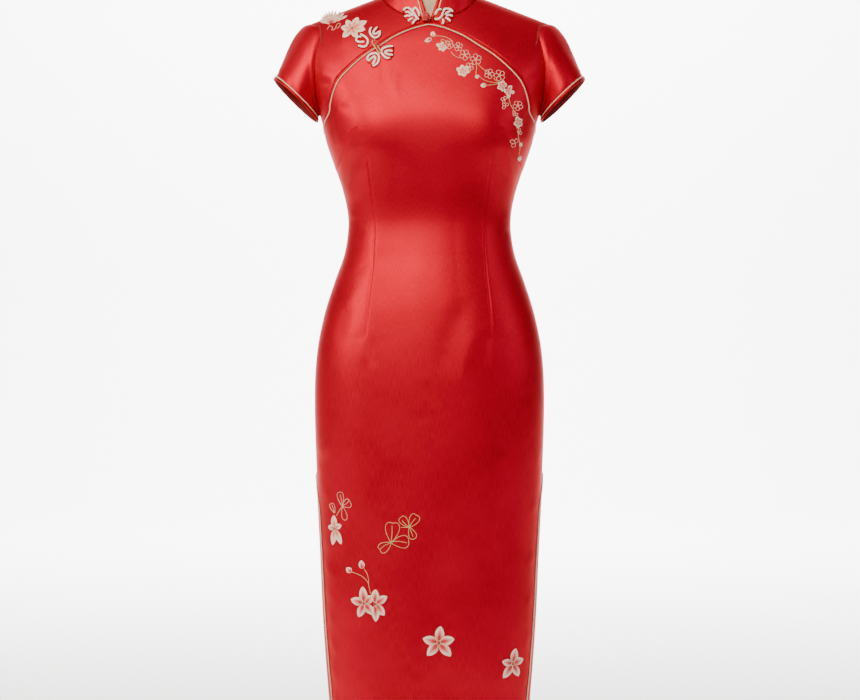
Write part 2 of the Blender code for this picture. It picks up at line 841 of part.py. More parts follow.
def front_skin(x, height):
    """The outermost cloth at a point of the front view: the collar above its seam, or the body."""
    if abs(x) < NECK_HALF_WIDTH:
        angle = math.asin((abs(x) / NECK_HALF_WIDTH) ** (NECK_SQUARENESS / 2))
        rise = height - neck_foot(angle).z
        if rise > 0:
            point, normal = collar_point(run_at(angle), rise / math.cos(COLLAR_LEAN))
            return Vector((x, point.y, height)), normal * Vector((math.copysign(1, x), 1, 1))
    place = place_for(x, height)
    return body_point(FRONT, place), body_normal(FRONT, place)


def frog_skin(x, height):
    """The surface that a frog lies on. It bridges the corner between the collar and the yoke."""
    low, low_normal = front_skin(x, height - FROG_BRIDGE)
    high, high_normal = front_skin(x, height + FROG_BRIDGE)
    return Vector((x, (low.y + high.y) / 2 - SEAM, height)), (low_normal + high_normal).normalized()


def laid(centre, along, across, lift):
    """A point on the front at an offset from a centre in the front view, lifted off the cloth."""
    point, normal = frog_skin(centre[0] + along, centre[1] + across)
    return point + normal * lift


def pad(name, centre, outline, lift):
    """A padded satin shape under a frog's loops: a lower and an upper skin over one outline."""
    bm = bmesh.new()
    rims = []
    for height, rim_height in ((lift, lift), (lift + PAD_THICKNESS, lift + PAD_THICKNESS * 0.6)):
        hub = bm.verts.new(laid(centre, 0, 0, height))
        inner = [bm.verts.new(laid(centre, x * 0.6, z * 0.6, height)) for x, z in outline]
        rim = [bm.verts.new(laid(centre, x, z, rim_height)) for x, z in outline]
        for k in range(len(outline)):
            bm.faces.new((hub, inner[k - 1], inner[k]))
            bm.faces.new((inner[k - 1], rim[k - 1], rim[k], inner[k]))
        rims.append(rim)
    for k in range(len(outline)):
        bm.faces.new((rims[0][k - 1], rims[0][k], rims[1][k], rims[1][k - 1]))
    finish_mesh(name, bm, "satin")


def cord(name, centre, path, lift, sides=4):
    """A closed tube of cord along a path in the front view, lying at a lift off the cloth."""
    bm = bmesh.new()
    points = [laid(centre, x, z, lift + FROG_CORD) for x, z in path]
    normal = frog_skin(*centre)[1]
    last = len(points) - 1
    rings = []
    for i, point in enumerate(points):
        along = (points[min(i + 1, last)] - points[max(i - 1, 0)]).normalized()
        across = along.cross(normal).normalized()
        up = across.cross(along).normalized()
        ring = []
        for k in range(sides):
            angle = 2 * math.pi * (k + 0.5) / sides
            offset = across * math.cos(angle) + up * math.sin(angle)
            ring.append(bm.verts.new(point + offset * FROG_CORD))
        rings.append(ring)
    join_rings(bm, rings)
    finish_mesh(name, bm, "ivory")


def join_rings(bm, rings):
    """Faces between closed rings of the same count, with flat ends."""
    for one, two in zip(rings, rings[1:]):
        for k in range(len(one)):
            bm.faces.new((one[k - 1], one[k], two[k], two[k - 1]))
    bm.faces.new(rings[0])
    bm.faces.new(rings[-1])


def make_fan(frog, lift):
    """A fan of cord loops on a scalloped pad. The cord folds back and forth about the hub."""
    spread, turn = math.radians(frog.spread), math.radians(frog.turn)
    centre = (frog.across * MM, frog.height * MM)

    def offset(reach, angle):
        return reach * math.cos(angle + turn), reach * math.sin(angle + turn)

    hub, tip = frog.hub * MM, frog.reach * MM
    outline = []
    for k in range(20):
        angle = 2 * math.pi * ((k / 20 + 0.5) % 1 - 0.5)
        wave = math.cos(math.pi * frog.loops * (angle / spread + 1))
        outline.append(offset(tip * (0.95 - 0.05 * wave) if abs(angle) <= spread else hub, angle))
    pad("pad_" + frog.name, centre, outline, lift)
    path = []
    steps = 10 * frog.loops
    for k in range(steps + 1):
        wave = 0.5 - 0.5 * math.cos(2 * math.pi * frog.loops * k / steps)
        reach = hub + (tip - 1.6 * MM - hub) * wave
        path.append(offset(reach, 0.92 * spread * (2 * k / steps - 1)))
    cord("frog_" + frog.name, centre, path, PAD_THICKNESS + lift + SEAM)


def make_knot(name, x, height, lift):
    """The ball knot that a frog's loop closes over."""
    point, normal = frog_skin(x, height)
    bm = bmesh.new()
    bmesh.ops.create_icosphere(bm, subdivisions=2, radius=KNOT_RADIUS)
    bmesh.ops.translate(bm, vec=point + normal * (lift + KNOT_RADIUS), verts=bm.verts)
    finish_mesh(name, bm, "satin")


# Dress form and stand


def form_drop(x):
    """How far the form's shoulder line lies under the cloth's, lower still inside the neckline."""
    seat = (CLOTH + SHOULDER_CLEARANCE) / math.cos(math.atan(SHOULDER_SLOPE))
    return seat + 0.005 * smooth_step((NECK_HALF_WIDTH + 0.018 - abs(x)) / 0.026)


def neck_width(height):
    return FORM_NECK_HALF_WIDTH - FORM_NECK_TAPER * max(0.0, height - 1.42)


def form_depth(side, x, height):
    """How far the form reaches forward or back: the torso and the neck, blended softly."""
    inset = CLOTH + FORM_CLEARANCE
    row = section_at(height)
    share = max(0.0, 1 - (abs(x) / (row.half_width - inset)) ** row.squareness)
    full = (row.front if side == FRONT else row.back) - inset
    torso = full * share ** (1 / row.squareness) * shoulder_roll(x, height, form_drop(x))
    if side == FRONT:
        torso += bust_rise(x, height) * min(1.0, 4 * share)
    neck_share = 1 - (x / neck_width(height)) ** 2
    if height < 1.31 or neck_share <= 0:
        return torso
    neck = FORM_NECK_HALF_DEPTH * math.sqrt(neck_share) - side * FORM_NECK_FORWARD
    near = max(0.0, 1 - abs(torso - neck) / FORM_FILLET)
    return max(torso, neck) + FORM_FILLET * near * near / 4


def form_reach(height):
    """Half the form's width: the side, the flat arm plate, the shoulder line or the neck."""
    side = section_at(height).half_width - CLOTH - FORM_CLEARANCE
    plate = ARM_PLATE_X + max(0.0, height - UNDERARM_Z) * ARM_PLATE_SLOPE
    if height < shoulder_height(plate) - form_drop(plate):
        return min(side, plate)
    if height >= shoulder_height(0.03) - form_drop(0.03):
        return neck_width(height)
    shoulder = solve(lambda x: shoulder_height(x) - form_drop(x) - height, 0.03, plate)
    return max(shoulder, neck_width(height))


def form_ring(height, count):
    """One closed ring of the form, over the front from left to right and back over the back."""
    wide = form_reach(height)
    ring = []
    for side, order in ((FRONT, 1), (BACK, -1)):
        for k in range(count):
            x = wide * order * math.sin(QUARTER * (2 * k / (count - 1) - 1))
            depth = form_depth(side, x * 0.9999, height)
            ring.append(Vector((x, side * max(depth, 1.2 * MM), height)))
    return ring


def make_form():
    """The linen torso with its neck, the neck's cap, the pole and the round base."""
    heights = [FORM_BOTTOM_Z + 0.0265 * k for k in range(23)]
    heights += [1.325, 1.343, 1.357, 1.367, 1.3735, 1.379, 1.386, 1.394, 1.402, 1.409, 1.416, 1.425]
    heights += [1.440, 1.465, FORM_TOP_Z]
    bm = bmesh.new()
    join_rings(bm, [[bm.verts.new(p) for p in form_ring(z, 13)] for z in heights])
    finish_mesh("form_body", bm, "linen")

    top = FORM_TOP_Z + SEAM
    cap = [(0.043, top), (0.045, top + 0.002), (0.045, top + 0.008), (0.042, top + CAP_HEIGHT)]
    turned("form_cap", cap, -FORM_NECK_FORWARD, "wood", 28)
    foot, head = BASE_HEIGHT + SEAM, FORM_BOTTOM_Z - SEAM
    pole = [(0.030, foot), (0.030, foot + 0.010), (0.022, foot + 0.018), (POLE_RADIUS, foot + 0.024)]
    pole += [(POLE_RADIUS, head - 0.020), (0.030, head - 0.008), (0.030, head)]
    turned("form_pole", pole, 0.0, "steel", 20)
    edge = 0.003
    base = [(BASE_RADIUS - edge, 0.0), (BASE_RADIUS, edge)]
    base += [(BASE_RADIUS, BASE_HEIGHT - edge), (BASE_RADIUS - edge, BASE_HEIGHT)]
    turned("form_base", base, 0.0, "steel", 48)


def turned(name, profile, centre_y, material, segments):
    """A turned piece with flat ends, from radii and heights."""
    bm = bmesh.new()
    rings = []
    for radius, height in profile:
        angles = [2 * math.pi * k / segments for k in range(segments)]
        points = [(radius * math.cos(a), centre_y + radius * math.sin(a), height) for a in angles]
        rings.append([bm.verts.new(p) for p in points])
    join_rings(bm, rings)
    finish_mesh(name, bm, material)


def new_material(name, colour, roughness, metallic=0.0):
    material = bpy.data.materials.new(name)
    material.use_nodes = True
    shader = material.node_tree.nodes["Principled BSDF"]
    shader.inputs["Base Color"].default_value = (*colour, 1.0)
    shader.inputs["Roughness"].default_value = roughness
    shader.inputs["Metallic"].default_value = metallic
    return material


for old in list(bpy.data.objects):
    bpy.data.objects.remove(old, do_unlink=True)

MATERIALS = {
    "satin": new_material("satin", (0.55, 0.004, 0.010), 0.35),
    "ivory": new_material("ivory", (0.80, 0.68, 0.52), 0.55),
    "linen": new_material("linen", (0.62, 0.52, 0.40), 0.90),
    "wood": new_material("wood", (0.30, 0.17, 0.08), 0.50),
    "steel": new_material("steel", (0.55, 0.55, 0.56), 0.30, 1.0),
}
NECK_LINE = neck_line()

make_front()
make_back()
for side_name, side_sign in SIDES:
    make_yoke("yoke_" + side_name, side_sign)
    make_sleeve(side_name, side_sign)
slit_trim("front", FRONT)
slit_trim("back", BACK)
make_collar()
for collar_frog in COLLAR_FROGS:
    make_fan(collar_frog, PIPING_PROUD)
for lapel_frog in LAPEL_FROGS:
    make_fan(lapel_frog, SEAM)
make_knot("knot_collar", *COLLAR_KNOT, -0.6 * MM)
make_knot("knot_lapel", *LAPEL_KNOT, PIPING_PROUD)
make_form()
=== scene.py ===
# A red silk satin cheongsam on a linen dress form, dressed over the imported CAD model.
# Left and right in the names are the viewer's: left is -X, and the front looks down -Y.

import bpy, bmesh, math
from functools import lru_cache
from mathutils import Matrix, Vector


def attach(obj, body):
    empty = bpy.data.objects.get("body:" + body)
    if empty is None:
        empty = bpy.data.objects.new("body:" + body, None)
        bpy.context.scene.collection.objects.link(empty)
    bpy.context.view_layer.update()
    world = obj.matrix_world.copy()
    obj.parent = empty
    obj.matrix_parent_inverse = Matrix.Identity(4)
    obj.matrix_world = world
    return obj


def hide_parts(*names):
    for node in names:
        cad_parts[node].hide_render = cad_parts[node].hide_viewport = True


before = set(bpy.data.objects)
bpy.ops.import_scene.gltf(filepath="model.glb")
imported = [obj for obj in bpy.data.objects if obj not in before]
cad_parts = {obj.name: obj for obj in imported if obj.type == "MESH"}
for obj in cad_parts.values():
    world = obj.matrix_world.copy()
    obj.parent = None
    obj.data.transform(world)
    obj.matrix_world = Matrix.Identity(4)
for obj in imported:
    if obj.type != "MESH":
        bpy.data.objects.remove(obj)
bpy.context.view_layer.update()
mm = 0.001
front, back = -1, 1
quarter = math.pi / 2
sides = (("left", -1), ("right", 1))

# Camera: eye height and lens follow the photo's framing

camera = {"distance": 3.6, "height": 0.8713, "across": 0.0008, "lens": 97.2, "sensor": 36.0,
          "photoCentre": (430, 350), "metresPerPixel": 0.00155}
cameraData = bpy.data.cameras.new("camera")
cameraData.lens, cameraData.sensor_width = camera["lens"], camera["sensor"]
cameraObject = bpy.data.objects.new("camera", cameraData)
cameraObject.location = (camera["across"], -camera["distance"], camera["height"])
cameraObject.rotation_euler = (quarter, 0, 0)
bpy.context.scene.collection.objects.link(cameraObject)
bpy.context.scene.camera = cameraObject

# The dress's cut, in metres, as the CAD panels have it

cut = {
    "cloth": 1.2 * mm, "seam": 0.3 * mm, "sleeveSeam": 0.5 * mm,
    "piping": 1.7 * mm, "binding": 4.0 * mm, "collarBinding": 7.0 * mm, "slitBinding": 15.0 * mm,
    "hem": 0.262, "slitTop": 0.685, "slitGap": 0.007, "underarm": 1.236,
    "tipX": 0.1835, "tipZ": 1.3766, "shoulderSlope": 0.397, "neckSoftness": 0.030, "roll": 0.100,
    "neckHalfWidth": 0.076, "neckFront": 0.062, "neckBack": 0.055, "neckSquareness": 2.2,
    "armholeFront": 0.046, "armholeBack": 0.051,
    "bustX": 0.096, "bustZ": 1.186, "bustRise": 0.009, "bustAcross": 0.042,
    "bustAbove": 0.060, "bustBelow": 0.034, "dartRidge": 0.0026, "dartReach": 0.045,
    "lapelEnd": 1.205,
}
seamSide = cut["seam"] * 0.6  # from the middle of a seam to the cloth's edge
pipingMiddle = cut["seam"] + cut["piping"] / 2  # how far a piping lies from its panel's edge
pipingReach = 2 * cut["seam"] + cut["piping"]

# Height, half width, front depth, back depth and squareness of each level section, in mm
bodyRows = [
    (200, 142, 86, 94, 2.30), (262, 148, 89, 98, 2.30), (330, 155, 93, 103, 2.30),
    (450, 164, 98, 112, 2.30), (560, 169, 102, 119, 2.30), (685, 175, 106, 124, 2.30),
    (800, 178, 108, 125, 2.30), (870, 174, 106, 119, 2.30), (930, 162, 101, 107, 2.25),
    (980, 146, 94, 92, 2.20), (1020, 132, 88, 79, 2.20), (1062, 126, 84, 72, 2.20),
    (1090, 128, 86, 71, 2.25), (1120, 135, 92, 74, 2.30), (1150, 145, 100, 80, 2.40),
    (1190, 159, 108, 87, 2.60), (1225, 167, 110, 92, 2.70), (1260, 178, 105, 96, 2.70),
    (1300, 187, 94, 98, 2.70), (1340, 193, 80, 95, 2.70), (1370, 196, 69, 89, 2.70),
    (1400, 198, 60, 80, 2.70), (1450, 200, 46, 62, 2.70),
]
lapelRows = [  # across and height of the lapel's piping, in mm
    (0, 1365.5), (31, 1357), (54, 1346), (72, 1334), (94, 1320),
    (120, 1298), (136, 1281), (145, 1263), (150, 1244), (154, 1228),
]
dartRows = [  # height and across of the waist dart, in mm
    (890, 96), (903, 95), (950, 91), (1000, 86), (1060, 84), (1110, 88), (1150, 93), (1182, 97),
]


def easeBetween(start, startSlope, end, endSlope, t):
    return (start * (1 + 2 * t) * (1 - t) ** 2 + startSlope * t * (1 - t) ** 2
            + end * t * t * (3 - 2 * t) + endSlope * t * t * (t - 1))


def smoothRow(rows, at):  # a smooth curve through every column of a table
    keys = [row[0] for row in rows]
    at = min(max(at, keys[0]), keys[-1])
    i = max(k for k in range(len(keys) - 1) if keys[k] <= at)
    span = keys[i + 1] - keys[i]

    def slope(k, c):
        before, after = max(k - 1, 0), min(k + 1, len(keys) - 1)
        return (rows[after][c] - rows[before][c]) / (keys[after] - keys[before]) * span
    return [easeBetween(rows[i][c], slope(i, c), rows[i + 1][c], slope(i + 1, c), (at - keys[i]) / span)
            for c in range(1, len(rows[0]))]


sectionStep = 0.5  # mm between two sections of the table below
lowestSection, highestSection = bodyRows[0][0], bodyRows[-1][0]
lastSection = int((highestSection - lowestSection) / sectionStep)
sectionTable = [smoothRow(bodyRows, lowestSection + sectionStep * k) for k in range(lastSection + 1)]
dartFoot, dartHead = dartRows[0][0], dartRows[-1][0]
dartTable = [smoothRow(dartRows, height)[0] * mm for height in range(dartFoot, dartHead + 1)]


def sectionAt(height):
    at = min(max((height / mm - lowestSection) / sectionStep, 0.0), lastSection - 1.0)
    i = int(at)
    low, high = sectionTable[i], sectionTable[i + 1]
    halfWidth, frontDepth, backDepth, squareness = (a + (b - a) * (at - i) for a, b in zip(low, high))
    return halfWidth * mm, frontDepth * mm, backDepth * mm, squareness


def dartAcross(height):
    return dartTable[int(min(max(height / mm, dartFoot), dartHead)) - dartFoot]


def power(value, exponent):
    return math.copysign(abs(value) ** exponent, value)


def blendAt(at, stops, values):  # straight runs between stops
    for k in range(1, len(stops)):
        if at <= stops[k] or k == len(stops) - 1:
            t = (at - stops[k - 1]) / (stops[k] - stops[k - 1])
            return values[k - 1] + (values[k] - values[k - 1]) * t


def smoothStep(t):
    t = min(max(t, 0.0), 1.0)
    return t * t * (3 - 2 * t)


def shoulderHeight(x):
    soft = cut["neckSoftness"]
    return cut["tipZ"] + (cut["tipX"] - math.hypot(x, soft)) * cut["shoulderSlope"] + soft**2


def shoulderRoll(x, height, drop=0.0):
    t = min(max((shoulderHeight(x) - drop - height) / cut["roll"], 0.0), 1.0)
    return math.sqrt(1 - (1 - t) ** 2)


def bustRise(x, height):
    tall = cut["bustAbove"] if height > cut["bustZ"] else cut["bustBelow"]
    across = (abs(x) - cut["bustX"]) / cut["bustAcross"]
    return cut["bustRise"] * math.exp(-(across**2) - ((height - cut["bustZ"]) / tall) ** 2)


def dartStrength(height):
    share = (height / mm - dartFoot) / (dartHead - dartFoot)
    return math.sin(math.pi * share) ** 0.6 if 0 < share < 1 else 0.0


def acrossAt(turn, height):
    halfWidth, _, _, squareness = sectionAt(height)
    return halfWidth * power(math.sin(turn), 2 / squareness)


def bodyPoint(side, place):  # a place is a turn round the body and a height
    turn, height = place
    _, frontDepth, backDepth, squareness = sectionAt(height)
    x = acrossAt(turn, height)
    cosine = max(math.cos(turn), 0.0)
    depth = (frontDepth if side == front else backDepth) * cosine ** (2 / squareness)
    edge = min(1.0, 4 * cosine)  # the bust and the darts level out towards the side seam
    if side == front:
        depth += bustRise(x, height) * edge
    strength = dartStrength(height)
    if strength:
        away = abs(abs(x) - dartAcross(height))
        depth += cut["dartRidge"] * strength * max(0.0, 1 - away / cut["dartReach"]) * edge
    return Vector((x, side * max(depth * shoulderRoll(x, height), seamSide), height))


def turnFor(x, height):
    halfWidth, _, _, squareness = sectionAt(height)
    return math.copysign(math.asin(min(abs(x) / halfWidth, 1.0) ** (squareness / 2)), x)


def placeFor(x, height):
    return turnFor(x, height), height


def solve(function, low, high, rounds=34):
    lowSign = function(low) > 0
    for _ in range(rounds):
        middle = (low + high) / 2
        if (function(middle) > 0) == lowSign:
            low = middle
        else:
            high = middle
    return (low + high) / 2


def placeNear(side, point):  # the place on the body straight behind or before a point
    def tooFarRound(turn):
        here = bodyPoint(side, (turn, point.z))
        return here.x * abs(point.y) - abs(point.x) * abs(here.y)
    return math.copysign(solve(tooFarRound, 0.0, quarter), point.x), point.z


normalStep = {"turn": 0.002, "height": 0.8 * mm, "crest": 0.2 * mm}


def bodyNormal(side, place):
    turn, height = place
    here = bodyPoint(side, place)
    belowCrest = shoulderHeight(here.x) - height
    if belowCrest < normalStep["crest"]:  # on the shoulder seam, where both panels meet
        slope = cut["shoulderSlope"] * here.x / math.hypot(here.x, cut["neckSoftness"])
        return Vector((slope, 0.0, 1.0)).normalized()
    aside, below = normalStep["turn"], normalStep["height"]
    if abs(turn) > quarter - 2 * aside:  # on a side seam
        rise = sectionAt(height + mm)[0] - sectionAt(height - mm)[0]
        return Vector((math.copysign(1, turn), 0.0, -rise / (2 * mm))).normalized()
    above = min(below, 0.8 * belowCrest)
    along = bodyPoint(side, (turn + aside, height)) - bodyPoint(side, (turn - aside, height))
    up = bodyPoint(side, (turn, height + above)) - bodyPoint(side, (turn, height - below))
    return (along.cross(up) * -side).normalized()


# Creases: from x, z to x, z, half width and height, all in mm; a height below zero is a trough

frontCreases = [
    (-99, 1155, -124, 1103, 8, 1.7), (-116, 1172, -131, 1122, 7, -1.4), (-92, 1120, -112, 1088, 6, -0.8),
    (-145, 1221, -143, 1186, 4, -0.6), (-150, 1226, -148, 1190, 4, 0.5), (-138, 1222, -133, 1178, 6, 0.5),
    (-124, 1204, -106, 1196, 5, -0.5), (-120, 1188, -98, 1194, 6, -0.6), (-112, 1180, -86, 1186, 7, 0.4),
    (-136, 1280, -112, 1256, 9, 0.8), (-138, 1242, -116, 1234, 6, -0.6), (-124, 1256, -142, 1228, 6, 0.5),
    (-70, 1306, -68, 1272, 4, -0.6), (-51, 1294, -48, 1250, 6, 0.5), (-60, 1300, -59, 1268, 4, 0.4),
    (61, 950, 17, 832, 17, -1.3), (75, 905, 50, 815, 12, 1.0), (90, 899, 84, 850, 8, -0.8),
    (98, 893, 103, 842, 8, 0.5), (-96, 893, -99, 850, 7, 0.9), (-86, 888, -82, 846, 8, -0.8),
    (-87, 1005, -114, 988, 6, -0.4), (-121, 940, -137, 880, 10, -0.7), (-104, 968, -128, 930, 8, 0.4),
    (-36, 769, 4, 772, 5, -0.6), (30, 800, 62, 806, 6, -0.5),
    (-159, 546, -143, 524, 5, 1.3), (-155, 503, -143, 488, 4, 1.1), (-153, 466, -140, 450, 4, 1.2),
    (-151, 431, -138, 409, 5, 1.3), (-149, 390, -136, 363, 6, 1.3), (-146, 345, -136, 322, 5, 1.0),
    (-158, 582, -148, 566, 4, 0.9), (-132, 570, -141, 530, 7, -1.2), (-169, 712, -150, 732, 6, 1.2),
    (-168, 696, -154, 706, 5, -0.9), (-160, 660, -150, 640, 6, 0.8),
    (119, 1186, 130, 1130, 5, 1.1), (111, 1176, 119, 1126, 7, -1.0), (153, 1238, 142, 1196, 5, -0.9),
    (146, 1238, 137, 1200, 5, 0.6), (106, 1206, 116, 1190, 5, -0.5), (100, 1212, 116, 1206, 5, 0.4),
    (168, 700, 152, 722, 6, 1.0), (166, 640, 154, 620, 5, 0.8), (163, 560, 150, 540, 5, 0.9),
    (160, 500, 148, 478, 5, 0.8), (157, 440, 146, 420, 5, 1.0), (153, 380, 142, 358, 5, 0.9),
    (-95, 840, -92, 600, 24, 1.0), (-34, 760, -46, 540, 22, -0.9), (96, 790, 88, 560, 22, 0.9),
    (132, 700, 122, 470, 15, -1.1), (-120, 640, -112, 420, 16, -0.9), (30, 560, 24, 330, 24, -0.8),
    (70, 480, 66, 290, 20, 0.8), (-20, 430, -24, 280, 20, 0.7),
    (128, 1060, 112, 1044, 6, -0.8), (126, 1078, 108, 1070, 5, 0.6), (-124, 1056, -100, 1044, 6, -0.7),
    (-124, 1080, -104, 1076, 5, 0.6), (-169, 1295, -141, 1287, 6, 1.1), (-167, 1280, -150, 1276, 4, -1.0),
    (-168, 1262, -156, 1252, 5, 0.8), (169, 1290, 148, 1276, 6, -0.9), (166, 1268, 152, 1256, 5, 0.8),
    (120, 1352, 136, 1322, 12, -0.8), (-122, 1356, -136, 1330, 12, 0.8), (128, 1340, 142, 1312, 9, 0.7),
]
backCreases = [
    (-118, 1092, -70, 1066, 9, -1.5), (-124, 1066, -72, 1048, 8, 1.2), (-120, 1040, -78, 1030, 8, -1.1),
    (116, 1096, 66, 1072, 9, -1.4), (122, 1070, 74, 1052, 8, 1.2), (118, 1044, 80, 1036, 8, -1.0),
    (-40, 1076, 38, 1070, 12, -1.2), (-34, 1046, 44, 1052, 10, 1.0), (-30, 1104, 30, 1100, 12, 0.7),
    (-152, 1246, -118, 1222, 7, 1.2), (-148, 1222, -112, 1204, 7, -1.1), (152, 1244, 120, 1226, 7, 1.1),
    (150, 1220, 114, 1202, 7, -1.2), (-60, 1330, -50, 1250, 16, 1.0), (58, 1334, 50, 1256, 16, 0.9),
    (-96, 890, -104, 820, 9, -1.2), (96, 890, 101, 826, 9, -1.1), (-70, 800, -64, 620, 24, 1.2),
    (0, 800, 6, 560, 26, -1.2), (72, 790, 68, 600, 24, 1.1), (-150, 700, -128, 724, 7, 1.2),
    (152, 704, 130, 726, 7, 1.1), (-150, 560, -132, 536, 6, 1.0), (-146, 480, -130, 458, 6, 1.0),
    (-140, 400, -126, 378, 6, 1.1), (152, 570, 134, 548, 6, 1.0), (146, 470, 130, 450, 6, 0.9),
    (140, 390, 126, 368, 6, 1.0), (-30, 520, -36, 300, 22, 0.9), (44, 500, 40, 290, 22, -0.9),
    (-100, 560, -94, 330, 20, -0.9), (104, 540, 98, 320, 20, 0.8),
]


# Shares of a crease's half width or length; the darts' sizes are in mm
crease = {"reach": 2.6, "bow": 0.06, "ends": 1.5, "fade": 0.35, "left": 0.25}
dartStitch = {"depth": 1.2, "halfWidth": 1.0, "pucker": 0.22, "from": -2, "to": 16, "fall": 5}
bustDart = {"low": 1120, "high": 1230, "inner": 96, "outer": 160, "heights": (1148, 1181, 1199, 1208),
            "line": (143, 127.5, 121.5, 111), "start": 1140, "end": 1211, "fold": 0.9, "foldFall": 16,
            "dent": 0.5, "dentWidth": 3.6}


def creaseHeight(side, x, height):
    total = 0.0
    px, pz = x / mm, height / mm
    for ax, az, bx, bz, wide, tall in (frontCreases if side == front else backCreases):
        reach = wide * crease["reach"]
        inside = min(ax, bx) - reach < px < max(ax, bx) + reach
        if inside and min(az, bz) - reach < pz < max(az, bz) + reach:
            dx, dz = bx - ax, bz - az
            length = math.hypot(dx, dz)
            t = ((px - ax) * dx + (pz - az) * dz) / length**2
            bow = crease["bow"] * length * math.sin(math.pi * min(max(t, 0.0), 1.0))
            away = ((px - ax) * dz - (pz - az) * dx) / length - bow
            over = max(-t, t - 1, 0.0) * length / (wide * crease["ends"])
            fade = smoothStep(t / crease["fade"] + crease["left"])
            fade *= smoothStep((1 - t) / crease["fade"] + crease["left"])
            total += tall * math.exp(-((away / wide) ** 2) - over**2) * fade
    strength = dartStrength(height)
    if strength:
        away = abs(px) - dartAcross(height) / mm
        groove = math.exp(-((away / dartStitch["halfWidth"]) ** 2))
        total -= dartStitch["depth"] * min(1.0, 1.6 * strength) * groove
        if dartStitch["from"] < away < dartStitch["to"]:  # the pucker that a dart's stitching draws up
            beat = math.sin(pz * 0.72 + 1.7 * math.sin(pz * 0.13)) * (0.6 + 0.4 * math.sin(pz * 0.31))
            fall = math.exp(-max(away, 0.0) / dartStitch["fall"])
            total += dartStitch["pucker"] * strength * beat * fall
    return total * mm


def tuckHeight(side, x, height):  # the bust darts: cloth folded up from the side seam to the bust
    px, pz = abs(x) / mm, height / mm
    beside = bustDart["inner"] < px < bustDart["outer"]
    if side != front or not (beside and bustDart["low"] < pz < bustDart["high"]):
        return 0.0
    away = px - blendAt(pz, bustDart["heights"], bustDart["line"])
    fade = smoothStep((pz - bustDart["start"]) / 14) * smoothStep((bustDart["end"] - pz) / 10)
    step = smoothStep((away + 1.5) / 3.0) * math.exp(-max(away, 0.0) / bustDart["foldFall"])
    dent = bustDart["dent"] * math.exp(-(((away + 3.0) / bustDart["dentWidth"]) ** 2))
    return (bustDart["fold"] * step - dent) * fade * mm


def clothPoint(side, place, lift=0.0):
    point = bodyPoint(side, place)
    normal = bodyNormal(side, place)
    rise = creaseHeight(side, point.x, point.z) + tuckHeight(side, point.x, point.z)
    edge = min(1.0, max(0.0, quarter - abs(place[0])) / 0.05)  # both panels meet level at the side seam
    return point + normal * (rise * edge + lift), normal


# Seam lines


def sidePlace(side, height, gap):
    _, frontDepth, backDepth, squareness = sectionAt(height)
    full = frontDepth if side == front else backDepth
    return math.acos((gap / full) ** (squareness / 2)), height


def sideGap(height):
    openShare = max(0.0, (cut["slitTop"] - height) / (cut["slitTop"] - cut["hem"]))
    return seamSide + cut["slitGap"] * openShare


def curveSum(t, p, q, r, s):  # the smooth curve from q to r, with p before and s after them
    return q + 0.5 * ((r - p) * t + (2 * p - 5 * q + 4 * r - s) * t * t
                      + (3 * q - p - 3 * r + s) * t**3)


def stepLengths(points, measure):
    lengths = [0.0]
    for one, two in zip(points, points[1:]):
        lengths.append(lengths[-1] + measure(one, two))
    return lengths


def evenLine(points, count, across=1.0):  # even steps along a smooth curve through the points
    fine, last, parts = [], len(points) - 1, 12
    for i in range(last):
        near = [points[min(max(i + k, 0), last)] for k in (-1, 0, 1, 2)]
        fine += [tuple(curveSum(k / parts, *column) for column in zip(*near)) for k in range(parts)]
    fine.append(tuple(points[-1]))
    lengths = stepLengths(fine, lambda a, b: math.hypot((b[0] - a[0]) * across, b[1] - a[1]))
    result, i = [], 0
    for k in range(count):
        at = lengths[-1] * k / (count - 1)
        while i < len(fine) - 2 and lengths[i + 1] < at:
            i += 1
        t = (at - lengths[i]) / max(lengths[i + 1] - lengths[i], 1e-12)
        result.append(tuple(p + (q - p) * min(t, 1.0) for p, q in zip(fine[i], fine[i + 1])))
    return result


lapelSteps = 121
turnWeight = 0.15  # metres of cloth in a turn of 1, about
lapelPoints = [placeFor(a * mm, z * mm) for a, z in lapelRows] + [(quarter, cut["lapelEnd"])]
lapelPlaces = evenLine(lapelPoints, lapelSteps, turnWeight)
lapelPlaces[-1] = sidePlace(front, cut["lapelEnd"], seamSide)


@lru_cache(maxsize=None)
def lapelOffset(reach):  # the lapel line moved up over the surface
    points = [bodyPoint(front, p) for p in lapelPlaces]
    moved = []
    for i, place in enumerate(lapelPlaces):
        before, after = max(i - 3, 0), min(i + 3, lapelSteps - 1)
        along = Vector((1, 0, 0)) if i == 0 else (points[after] - points[before]).normalized()
        out = bodyNormal(front, place).cross(along).normalized()
        out *= math.copysign(1, out.z)
        if i == lapelSteps - 1:
            moved.append(sidePlace(front, place[1] + reach / max(out.z, 0.3), seamSide))
            continue
        near = placeNear(front, points[i] + out * reach)
        moved.append((0.0, near[1]) if i == 0 else near)
    return moved


def depthAt(side, x, height):
    return abs(bodyPoint(side, placeFor(x, height)).y)


def neckPlace(angle):  # angle 0 at the centre front, pi at the centre back
    e = 2 / cut["neckSquareness"]
    side = front if math.cos(angle) > 0 else back
    x = cut["neckHalfWidth"] * power(math.sin(angle), e)
    y = (cut["neckFront"] if side == front else cut["neckBack"]) * abs(math.cos(angle)) ** e
    top = shoulderHeight(x)
    if y < 0.01 * mm:
        return placeFor(x, top)
    return placeFor(x, solve(lambda z: depthAt(side, x, z) - y, top - 0.09, top))


